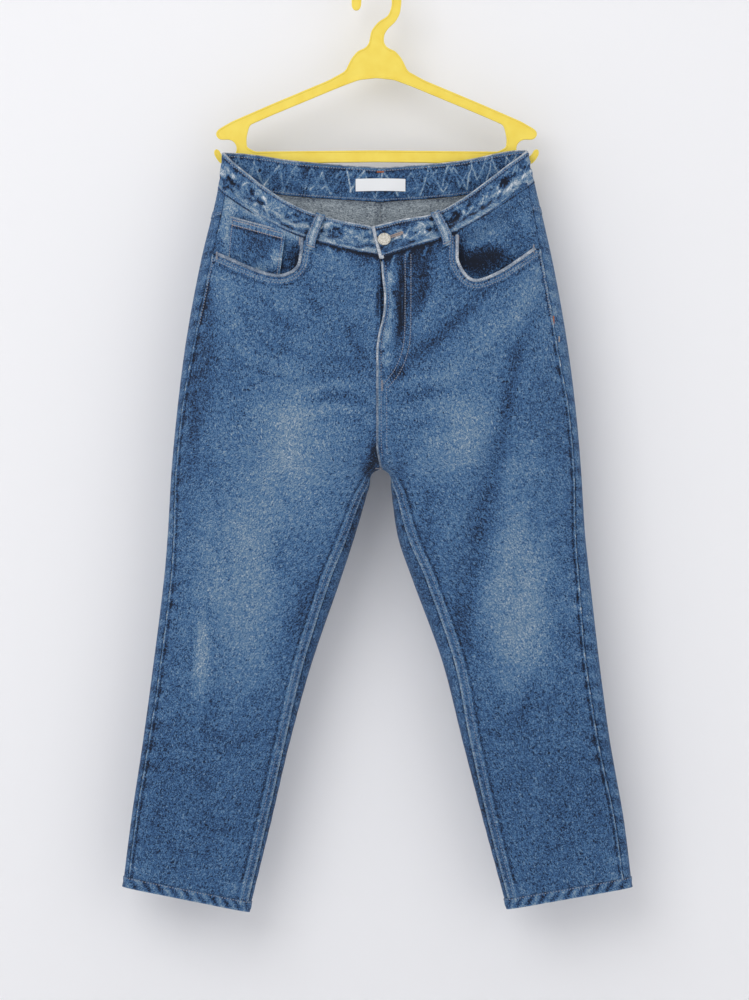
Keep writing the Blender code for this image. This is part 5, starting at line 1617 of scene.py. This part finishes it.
# Painted shadow of each front belt loop on the band: a dark line beside each of its sides.
for side, (place, slant) in FRONT_LOOPS.items():
    loop_shadow_at = np.abs(shares - place + slant * up / tall) * 212 - 7.4
    fade = fade - 0.24 * bump(loop_shadow_at, 1.7) * (half == SIDES[side])
# Inside: pale crinkles and cloudy tone, with the same painted shade lines near the lower seam and under the
# top edge.
inside = 0.25 + inner_cracks + 0.10 * soft_noise(run_at, up, 12, 106) + 0.20 * bump(tall - up - 1.0, 1.4)
inside = inside - 0.16 * bump(tall - up - 4.5, 1.4) + 0.16 * bump(up - 2.6, 1.3) - 0.25 * bump(up - 0.2, 1.6)
grid = grid_of(band.points + band.out * lift[..., None], band.out)
piece = cloth("waist_band", grid, WAISTBAND_WALL, [DENIM_FACE, DENIM_FACE], fade, inside=inside)
finish_piece(piece, ["waistband"])
sheets[piece.name] = (piece, (float(length[-1]) * MM, float(tall.mean()) * MM), None)
visible = slice(12, None)
top_path = grid.points[0] - grid.out[0] * 1.4 + (0, 0, 0.4)
edge_fade = 0.56 + 0.16 * soft_noise(length, 0 * length, 6, 107) + 0.10 * (half > 0)
top_out = grid.out[0] * 0.4 + (0, 0, 1)
top_edge = strip(
    "waist_band_top_edge", top_path[visible], top_out[visible],
    3.6, 1.1, WORN_EDGE, edge_fade[visible], sides=5,
)
finish_piece(top_edge)
for row, tone in ((2, 0.42), (BAND_LINES - 3, 0.40)):
    sew("waistband", grid.points[row, visible], grid.out[row, visible], tone, pitch=3.2)
    behind = grid.points[row, visible] - grid.out[row, visible] * (WAISTBAND_WALL + 0.1)
    sew("waistband", behind, -grid.out[row, visible], tone, pitch=3.2)
lap = np.concatenate([grid.points[:, -1], grid.points[-1, -2:-6:-1]])
lap_out = np.concatenate([grid.out[:, -1], grid.out[-1, -2:-6:-1]])
lap_edge = strip("waist_band_lap_edge", lap + lap_out * 0.2, lap_out, 4.2, 1.4, WORN_EDGE, 0.74)
finish_piece(lap_edge)
print("waistband", round(float(length[-1])), "mm long with", int((outer_cracks > 0.1).sum()), "pale points")

# %% [markdown]
# ## Fly
# The left front laps over the right at the fly. Behind the lap are its facing, the zip and a shield of
# denim. The zip is closed; its slider is hidden, and it isn't modelled as moving.

# %% Fly pieces and the lapped edge
def fly_piece(name, left, right, layer, wall, finish, nodes):
    z = np.linspace(-350.0, -486.0, 40)[:, None] + np.zeros((1, 9))
    p = np.linspace(0, 1, 9)[None]
    edge = smooth_at(FLY_EDGES, "flap", z) + 1.0 if left is None else left
    x = edge + (right - (left or 0.0)) * p + 0 * z
    points, out = lie_on("front", x, z, np.full(z.shape, layer))
    # A fade of 0.10 colours each piece near-black navy: painted shadow for the gap under the lapped edge.
    piece = cloth(name, grid_of(points, out), wall, [finish, finish], 0.10, inside=0.3)
    finish_piece(piece, nodes)
    return piece


for name, left, right, layer, wall, nodes in (
    ("fly_facing_cloth", None, 30.0, -DENIM - 2 * GAP, 1.1, ["fly_facing"]),
    ("zip_tape", -3.0, 21.0, -DENIM - 4 * GAP - 1.1, 1.0, ["zip"]),
    ("fly_shield_cloth", -6.0, 38.0, -DENIM - 6 * GAP - 2.1, DENIM, ["fly_shield"]),
):
    fly_piece(name, left, right, layer, wall, DENIM_FACE, nodes)

front_grid, _ = panels["front", "left"]
heights = front_grid.points[:, 0, 2]
picked = (heights < -346) & (heights > CROTCH + 2)
path, out = front_grid.points[picked, 0], front_grid.out[picked, 1]
fade = 0.62 + 0.18 * soft_noise(path[:, 2], 0, 6, 111) - 0.30 * step_up(-path[:, 2], 440, 520)
fly_lip = strip("fly_edge", path + out * 0.1, out, 2.6, 1.0, WORN_EDGE, fade)
finish_piece(fly_lip)
for inset in (4, 9):
    rows = (heights < -352) & (heights > -590) if inset == 4 else (heights < -502) & (heights > -590)
    sew("fly", front_grid.points[rows, inset], front_grid.out[rows, inset], 0.36)
Curve = namedtuple("Curve", "x z")
FLY_CURVE = (
    Curve(43, -334), Curve(43, -392), Curve(42, -439), Curve(37, -464), Curve(28, -484), Curve(14, -502),
)
j_line = smooth_line([tuple(c) for c in FLY_CURVE], 70)
for distance in (0.0, 7.2):
    line = beside(j_line, -distance)
    path, out = on_front(line[:, 0], line[:, 1], 0.2)
    sew("fly", path, out, 0.42, pitch=3.0)
path, out = on_front(np.array([7.0]), np.array([-499.0]), 0.5)
tack("fly", path[0], (0, 0, 1), out[0], 12, 3.0, 0.5)

# %% [markdown]
# ## Belt loops
# Each loop is a strip with both edges folded in, stitched down both sides and tacked at top and foot.

# %% Belt loops
def finer(grid, rows, columns):
    """A grid of points made finer along smooth curves."""
    grid = np.array([smooth_line(line, columns) for line in grid])
    return np.array([smooth_line(grid[:, c], rows) for c in range(columns)]).transpose(1, 0, 2)


def loop_cloth(name, node, under, outward):
    grid = grid_of(finer(under, 44, 13), outward)
    p = np.linspace(-1, 1, 13)[None]
    lift = LOOP_WALL + 0.5 * bump(np.abs(p) - 0.72, 0.2) - 0.3 * bump(p, 0.4) + 0 * grid.down
    fade = 0.54 + 0.14 * bump(p, 0.3) - 0.16 * bump(np.abs(p) - 0.6, 0.14)
    # Painted shade along the loop's two sides, where they turn down to the band.
    fade = fade - 0.40 * bump(np.abs(p) - 1.0, 0.13)
    fade = fade + 0.14 * soft_noise(grid.down, grid.across, 5, 121)
    solid = grid_of(grid.points + grid.out * lift[..., None], grid.out)
    piece = cloth(name, solid, LOOP_WALL, [DENIM_FACE, DENIM_BACK], fade)
    finish_piece(piece, [node])
    sheets[piece.name] = (piece, (LOOP_WIDTH * MM, solid.down[-1].mean() * MM), None)
    for column in (2, 10):
        sew("loops", solid.points[2:-2, column], solid.out[2:-2, column], 0.5, pitch=3.0)
    return solid


def front_loop_points(side):
    share, slant = FRONT_LOOPS[side]
    stride = LOOP_WIDTH / 2 / edges_of(side, band_at(side, share, "seam"))[1]
    columns = []
    for step in (-stride, 0, stride):
        low = band_frame(side, [share + step])[0][0]
        high = band_frame(side, [share + step - slant])[1][0]
        ahead = band_frame(side, [share + step + 0.02])[0][0] - low
        out = np.cross(ahead, high - low)
        out *= -np.sign(out[1]) / np.linalg.norm(out)
        column = [lie_on("front", low[0], low[2] - drop, lift)[0] for drop, lift in LOOP_FOOT]
        column += [low + (high - low) * part + out * lift for part, lift in LOOP_RUN]
        columns.append(column)
    return np.array(columns).transpose(1, 0, 2)


for side in SIDES:
    points = front_loop_points(side)
    solid = loop_cloth(f"front_loop_{side}", f"belt_loop_front_{side}", points, (0, -1, 0.3))
    for row in (3, 40):
        loop_across = solid.points[row, 8] - solid.points[row, 4]
        tack("loops", solid.points[row, 6], loop_across, solid.out[row, 6], 9, 2.4, 0.45)

low, high = (v[0] for v in band_frame("right", [2.0]))
centre_path = [
    lie_on("back", CENTRE_X, low[2] - 12.0, 1.2)[0],
    (CENTRE_X, low[1] + 1.6, low[2] - 4.0),
    (CENTRE_X, low[1] + 2.4, low[2] + 4.0),
    (CENTRE_X, low[1] + 3.2, low[2] + 14.0),
    (CENTRE_X, high[1] + 3.0, high[2] - 12.0),
    (CENTRE_X, high[1] + 1.6, high[2] - 4.0),
    (CENTRE_X, high[1] + 0.9, high[2] + 0.4),
]
centre_path = np.array(centre_path, float)
under = np.stack([centre_path + (s * LOOP_WIDTH / 2, 0, 0) for s in (-1, 0, 1)], axis=1)
solid = loop_cloth("centre_back_loop", "belt_loop_centre_back", under, (0, 1, 0.2))
for row in (3, 40):
    tack("loops", solid.points[row, 6], (1, 0, 0), solid.out[row, 6], 9, 2.4, 0.95)

for side in SIDES:
    x = HOOK_LOOP_X * SIDES[side]
    rest = HANGER_NOTCH_Z - math.sqrt(HANGER_NOTCH_R**2 - (LOOP_WIDTH / 2 + 2) ** 2) + GAP
    behind = HANGER_WALL / 2 + GAP
    side_path = np.array([
        (x, -5.6, rest + 0.4), (x, -2.0, rest + 0.2), (x, behind - 0.5, rest), (x, behind + 0.5, rest - 1.5),
        (x, behind + 0.5, -227.0), (x, -0.5, -240.0), (x, -3.6, -250.0), (x, -3.6, -262.0),
    ])
    under = np.stack([side_path + (s * LOOP_WIDTH / 2, 0, 0) for s in (-1, 0, 1)], axis=1)
    loop_cloth(f"side_loop_{side}", f"belt_loop_side_{side}", under, (0, 0.6, 0.8))

# %% [markdown]
# ## Side seams, inseams and their stitches
# The rows of stitches that show: two along each felled inseam and centre seam, one near the top of each
# side seam, and the tacks that take the strain of the pockets.

# %% Seam stitches
for side in SIDES:
    grid, _ = panels["front", side]
    rows = np.arange(len(grid.points))
    for distance in (2.6, 8.4):
        picked = [int(np.argmin(np.abs(grid.across[r] - distance))) for r in rows]
        leg = grid.points[rows, 0, 2] < CROTCH - 14
        sew(f"inseam_{side}", grid.points[rows, picked][leg], grid.out[rows, picked][leg], 0.33)
    from_side = grid.across[:, -1:] - grid.across
    picked = [int(np.argmin(np.abs(from_side[r] - 2.6))) for r in rows]
    below = (grid.points[rows, -1, 2] < POCKET_MOUTHS[side][0][1] - 3) & (grid.points[rows, -1, 2] > -425)
    sew(f"side_{side}", grid.points[rows, picked][below], grid.out[rows, picked][below], 0.42)
    back, _ = panels["back", side]
    rows = np.arange(len(back.points))
    from_last = back.across[:, -1:] - back.across
    for distance in (2.6, 9.0):
        picked = [int(np.argmin(np.abs(from_last[r] - distance))) for r in rows]
        seat = back.points[rows, -1, 2] > CROTCH + 8
        sew(f"back_{side}", back.points[rows, picked][seat], back.out[rows, picked][seat], 0.35)
Tack = namedtuple("Tack", "x z run_x run_z length fade")
TACKS = (
    Tack(221, -417, 0, 1, 9, 0.95),
    Tack(228, -441, 0, 1, 6, 0.6),
    Tack(3, -602, 1, 0, 8, 0.5),
    Tack(-199, -337, 0, 1, 9, 0.5),
    Tack(-96, -319, 0, 1, 9, 0.5),
    Tack(196, -328, 0, 1, 9, 0.5),
    Tack(102, -317, 0, 1, 9, 0.5),
)
for row in TACKS:
    path, out = on_front(np.array([row.x], float), np.array([row.z], float), 0.5)
    tack("tacks", path[0], (row.run_x, 0, row.run_z), out[0], row.length, 2.6, row.fade)

# %% [markdown]
# ## Button, buttonhole and label
# The shank button is pressed from sheet brass, plated and tumbled to a dull grey: a rolled rim round a
# slightly sunk cap. The buttonhole is bound in tan thread. The label is a folded satin ribbon, sewn at
# both ends, and left bare here.

# %% Button
BUTTON_PLACE = namedtuple("ButtonPlace", "share height sunk")(0.041, 0.53, 1.6)


def solid_material(name, code, roughness, metallic=0.0, **more):
    made = bpy.data.materials.new(name)
    made.use_nodes = True
    shader = made.node_tree.nodes["Principled BSDF"]
    shader.inputs["Base Color"].default_value = linear(code)
    shader.inputs["Roughness"].default_value = roughness
    shader.inputs["Metallic"].default_value = metallic
    for key, value in more.items():
        shader.inputs[key.replace("_", " ")].default_value = value
    return made, shader


# Plated and tumbled brass: a metal, softly blurred by many fine scratches.
BUTTON_METAL, shader = solid_material("tumbled plated brass", "c9c5ba", 0.62, 0.55)
tree = BUTTON_METAL.node_tree
where = add_node(tree, "ShaderNodeTexCoord").outputs["Object"]
worn = noise(tree, where, 700, 3.0)
ramp = add_node(tree, "ShaderNodeValToRGB", {"Fac": worn})
set_stops(ramp, ((0.38, "a9a498"), (0.6, "d8d6cf")))
tree.links.new(ramp.outputs["Color"], shader.inputs["Base Color"])
low, high = (v[0] for v in band_frame("left", [BUTTON_PLACE.share]))
ahead = band_frame("left", [BUTTON_PLACE.share + 0.03])[0][0]
button_up = unit(high - low)
button_out = unit(np.cross(ahead - low, button_up))
button_out = button_out * -np.sign(button_out[1])
seat = low + (high - low) * BUTTON_PLACE.height - button_out * BUTTON_PLACE.sunk
ButtonStep = namedtuple("ButtonStep", "radius height")
BUTTON_STEPS = (
    ButtonStep(4.2, 0.4), ButtonStep(4.2, 1.2),
    ButtonStep(7.4, 1.3), ButtonStep(8.1, 1.7), ButtonStep(8.3, 2.3),
    ButtonStep(8.1, 2.9), ButtonStep(7.5, 3.4),
    ButtonStep(6.9, 3.4), ButtonStep(6.5, 3.0), ButtonStep(5.8, 2.9),
    ButtonStep(4.0, 3.15), ButtonStep(2.0, 3.3),
)
bpy.ops.object.select_all(action="DESELECT")
first = BUTTON_STEPS[0]
bpy.ops.mesh.primitive_circle_add(
    vertices=48, radius=first.radius * MM, location=(0, 0, 0), fill_type="NGON",
)
button = bpy.context.active_object
bpy.ops.object.mode_set(mode="EDIT")
bpy.ops.mesh.select_all(action="SELECT")
bpy.ops.transform.translate(value=(0, 0, first.height * MM))
for before, step in zip(BUTTON_STEPS[:-1], BUTTON_STEPS[1:]):
    rise = (step.height - before.height) * MM
    bpy.ops.mesh.extrude_region_move(TRANSFORM_OT_translate={"value": (0, 0, rise)})
    grow = step.radius / before.radius
    bpy.ops.transform.resize(value=(grow, grow, 1), center_override=(0, 0, step.height * MM))
bpy.ops.mesh.select_all(action="SELECT")
bpy.ops.mesh.normals_make_consistent(inside=False)
bpy.ops.object.mode_set(mode="OBJECT")
bpy.ops.object.shade_smooth_by_angle(angle=math.radians(40))
button.name = "shank_button"
button.data.materials.append(BUTTON_METAL)
button.matrix_world = Vector(button_out).to_track_quat("Z", "Y").to_matrix().to_4x4()
button.location = Vector(seat + button_out * 0.3) * MM
bpy.ops.object.select_all(action="DESELECT")
button.select_set(True)
bpy.context.view_layer.objects.active = button
bpy.ops.object.transform_apply(location=True, rotation=True, scale=True)
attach(button, "root")
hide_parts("button")
print("button faces:", len(button.data.polygons))

# %% Buttonhole and label
hole_run = unit(ahead - low)
hole_run = hole_run * np.sign(hole_run[0])
hole = seat + hole_run * 15.0 + button_out * 0.6 + button_up * 1.0
for k in range(26):
    along = (k / 25 - 0.5) * 17
    for turn in (-1, 1):
        middle = hole + hole_run * along + button_up * turn * 1.15
        single("buttonhole", middle, button_up, button_out, 2.0, 0.66)
for k in range(5):
    single("buttonhole", hole + hole_run * 8.9 + button_up * (k - 2) * 0.6, hole_run, button_out, 2.4, 0.62)
# Satin ribbon: polyester warp floats give it a soft sheen.
LABEL, _ = solid_material("satin ribbon", "e3e5e8", 0.45, 0.0, Sheen_Weight=0.2)
low, high = (v[0] for v in band_frame("right", [2.0]))
p, q = np.meshgrid(np.linspace(0, 1, 30), np.linspace(0, 1, 10))
x = -26.0 + 62.0 * p
depth = low[1] - WAISTBAND_WALL - GAP - 1.6
depth = depth - 1.0 * np.sin(math.pi * p) * (0.6 + 0.4 * q) - 0.2 * np.sin(9 * p + 2 * q)
z = low[2] + 29.0 - 15.5 * q + 0.6 * np.sin(math.pi * p)
label = cloth("woven_label", grid_of(np.stack([x, depth, z], axis=-1), (0, -1, 0)), 0.6, [LABEL, LABEL], 0.5)
finish_piece(label, ["label"])
sheets["woven_label"] = (label, (0.062, 0.0155), None)
tack("label", (5.0, low[1] - WAISTBAND_WALL - 1.5, high[2] - 4.2), (1, 0, 0), (0, -1, 0), 8, 2.4, 1.0)

for part in sorted(sewing):
    obj, count = make_stitches(part)
    print(obj.name, count, "stitches")

# %% [markdown]
# ## Hanger
# The hanger is moulded in one shot of yellow polypropylene. To stay stiff and cheap it is a thin web with
# a rim round every edge, so each face is slightly sunk, and the mould leaves every corner softly rounded.

# %% Hanger
RIM = 2.3
WEB_WALL = 3.6


def spread_out(loop, distance):
    """A closed loop moved sideways by a distance."""
    loop = np.array(loop, float)
    keep = np.linalg.norm(loop - np.roll(loop, 1, axis=0), axis=1) > 0.05
    loop = loop[keep]
    before, after = unit(loop - np.roll(loop, 1, axis=0)), unit(np.roll(loop, -1, axis=0) - loop)
    side = unit(before + after)
    side = np.stack([side[:, 1], -side[:, 0]], axis=1)
    bend = np.clip((before * after).sum(axis=1), -0.2, 1)
    return loop + side * (distance / np.sqrt((1 + bend) / 2))[:, None]


def plate(name, loops, wall, bevel):
    """A flat plate cut to loops, its corners rounded, standing in the plane of the hook."""
    curve = bpy.data.curves.new(name, "CURVE")
    curve.dimensions = "2D"
    curve.fill_mode = "BOTH"
    curve.extrude = (wall / 2 - bevel) * MM
    curve.bevel_depth = bevel * MM
    curve.bevel_resolution = 2
    curve.offset = -bevel * MM
    for loop in loops:
        spline = curve.splines.new("POLY")
        spline.points.add(len(loop) - 1)
        for point, (x, z) in zip(spline.points, loop):
            point.co = (x * MM, z * MM, 0, 1)
        spline.use_cyclic_u = True
    obj = bpy.data.objects.new(name, curve)
    obj.rotation_euler = (math.radians(90), 0, 0)
    SCENE.objects.link(obj)
    bpy.ops.object.select_all(action="DESELECT")
    obj.select_set(True)
    bpy.context.view_layer.objects.active = obj
    bpy.ops.object.convert(target="MESH")
    bpy.ops.object.transform_apply(location=True, rotation=True, scale=True)
    bpy.ops.object.shade_smooth_by_angle(angle=math.radians(40))
    return obj


def rounded(loop, count=420):
    """A closed loop with its corners eased."""
    loop = np.array([*loop, loop[0]], float)
    fine = along_line(loop, np.linalg.norm(np.diff(loop, axis=0), axis=1).sum() / count)[:-1]
    for _ in range(3):
        fine = (np.roll(fine, 1, axis=0) + 2 * fine + np.roll(fine, -1, axis=0)) / 4
    return fine


# Moulded polypropylene: yellow through and through, slightly glossy, with light soaking in a little.
PLASTIC, shader = solid_material("yellow polypropylene", "eed34a", 0.36, 0.0, IOR=1.49)
tree = PLASTIC.node_tree
where = add_node(tree, "ShaderNodeTexCoord").outputs["Object"]
dull = noise(tree, where, 60, 2.0)
ramp = add_node(tree, "ShaderNodeValToRGB", {"Fac": dull})
set_stops(ramp, ((0.3, "ecd04a"), (0.7, "f0d858")))
tree.links.new(ramp.outputs["Color"], shader.inputs["Base Color"])
outline, window = rounded(hanger_outline(), 640), rounded(hanger_window(), 420)
turning = 1.0 if (np.cross(outline, np.roll(outline, -1, axis=0))).sum() > 0 else -1.0
window_turn = 1.0 if (np.cross(window, np.roll(window, -1, axis=0))).sum() > 0 else -1.0
rim_inner = spread_out(outline, -RIM * turning)
window_outer = spread_out(window, RIM * window_turn)
rims = [
    plate("hanger_rim", [outline, rim_inner], HANGER_WALL, 0.7),
    plate("window_rim", [window_outer, window], HANGER_WALL, 0.7),
]
web_loops = [spread_out(outline, -0.8 * turning), spread_out(window, 0.8 * window_turn)]
web = plate("hanger", web_loops, WEB_WALL, 0.3)
bpy.ops.object.select_all(action="DESELECT")
for obj in (*rims, web):
    obj.select_set(True)
bpy.context.view_layer.objects.active = web
bpy.ops.object.join()
web.name = "moulded_hanger"
web.data.materials.clear()
web.data.materials.append(PLASTIC)
web.data.polygons.foreach_set("material_index", np.zeros(len(web.data.polygons), np.int32))
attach(web, "root")
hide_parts("hanger")
print("hanger faces:", len(web.data.polygons))

# %% [markdown]
# ## The cloth's flat sizes
# Each piece of cloth at least a centimetre across is listed with what it hangs from, and its flat size is
# printed.

# %% Cloth sizes
RESTS = defaultdict(lambda: ["waist_band"], {
    "waist_band": ["side_loop_right", "side_loop_left"],
    "side_loop_right": ["moulded_hanger"], "side_loop_left": ["moulded_hanger"],
})
for name, (obj, flat, area) in sheets.items():
    if min(flat) >= 0.01:
        RESTS[name]
        print(name, [round(v, 3) for v in flat], "m")

# %% [markdown]
# ## Room and light
# A plain pale wall stands close behind and a pale floor below. The wall is painted on its room side only,
# so that the jeans can also be looked at from behind. One large soft light from the upper left
# front does most of the work, a weaker one fills from the right, and the room itself gives the rest.

# %% Floor, wall and light
FLOOR_Z = -1.300
WALL_Y = 0.062
wall_paint, _ = solid_material("matt wall paint", "efeff2", 0.9)
floor_paint, _ = solid_material("pale painted floor", "eeeeef", 0.8)
tree = wall_paint.node_tree
surface = next(node for node in tree.nodes if node.type == "OUTPUT_MATERIAL").inputs["Surface"]
painted = surface.links[0].from_socket
side_seen = add_node(tree, "ShaderNodeNewGeometry").outputs["Backfacing"]
clear = add_node(tree, "ShaderNodeBsdfTransparent").outputs["BSDF"]
mix = tree.nodes.new("ShaderNodeMixShader")
for socket, source in zip(mix.inputs, (side_seen, painted, clear)):
    tree.links.new(source, socket)
tree.links.new(mix.outputs["Shader"], surface)
skirting = ((-4, WALL_Y, FLOOR_Z), (4, WALL_Y, FLOOR_Z))
for name, far_edge, paint in (
    ("wall", ((4, WALL_Y, 3), (-4, WALL_Y, 3)), wall_paint),
    ("floor", ((4, -7, FLOOR_Z), (-4, -7, FLOOR_Z)), floor_paint),
):
    mesh = bpy.data.meshes.new(name)
    mesh.from_pydata(skirting + far_edge, [], [(0, 1, 2, 3)])
    mesh.materials.append(paint)
    obj = bpy.data.objects.new(name, mesh)
    SCENE.objects.link(obj)
Lamp = namedtuple("Lamp", "name x y z size power")
for lamp in (Lamp("key", -1.5, -3.4, 1.2, 2.6, 52.0), Lamp("fill", 2.4, -3.4, -0.2, 2.6, 14.0)):
    data = bpy.data.lights.new(lamp.name, "AREA")
    data.shape = "SQUARE"
    data.size = lamp.size
    data.energy = lamp.power
    obj = bpy.data.objects.new(lamp.name, data)
    obj.location = (lamp.x, lamp.y, lamp.z)
    aim = Vector((0, 0, -0.6)) - obj.location
    obj.rotation_euler = aim.to_track_quat("-Z", "Y").to_euler()
    SCENE.objects.link(obj)
world = bpy.data.worlds.new("room")
bpy.context.scene.world = world
world.use_nodes = True
world.node_tree.nodes["Background"].inputs["Color"].default_value = (1.0, 1.0, 1.0, 1.0)
world.node_tree.nodes["Background"].inputs["Strength"].default_value = 0.70
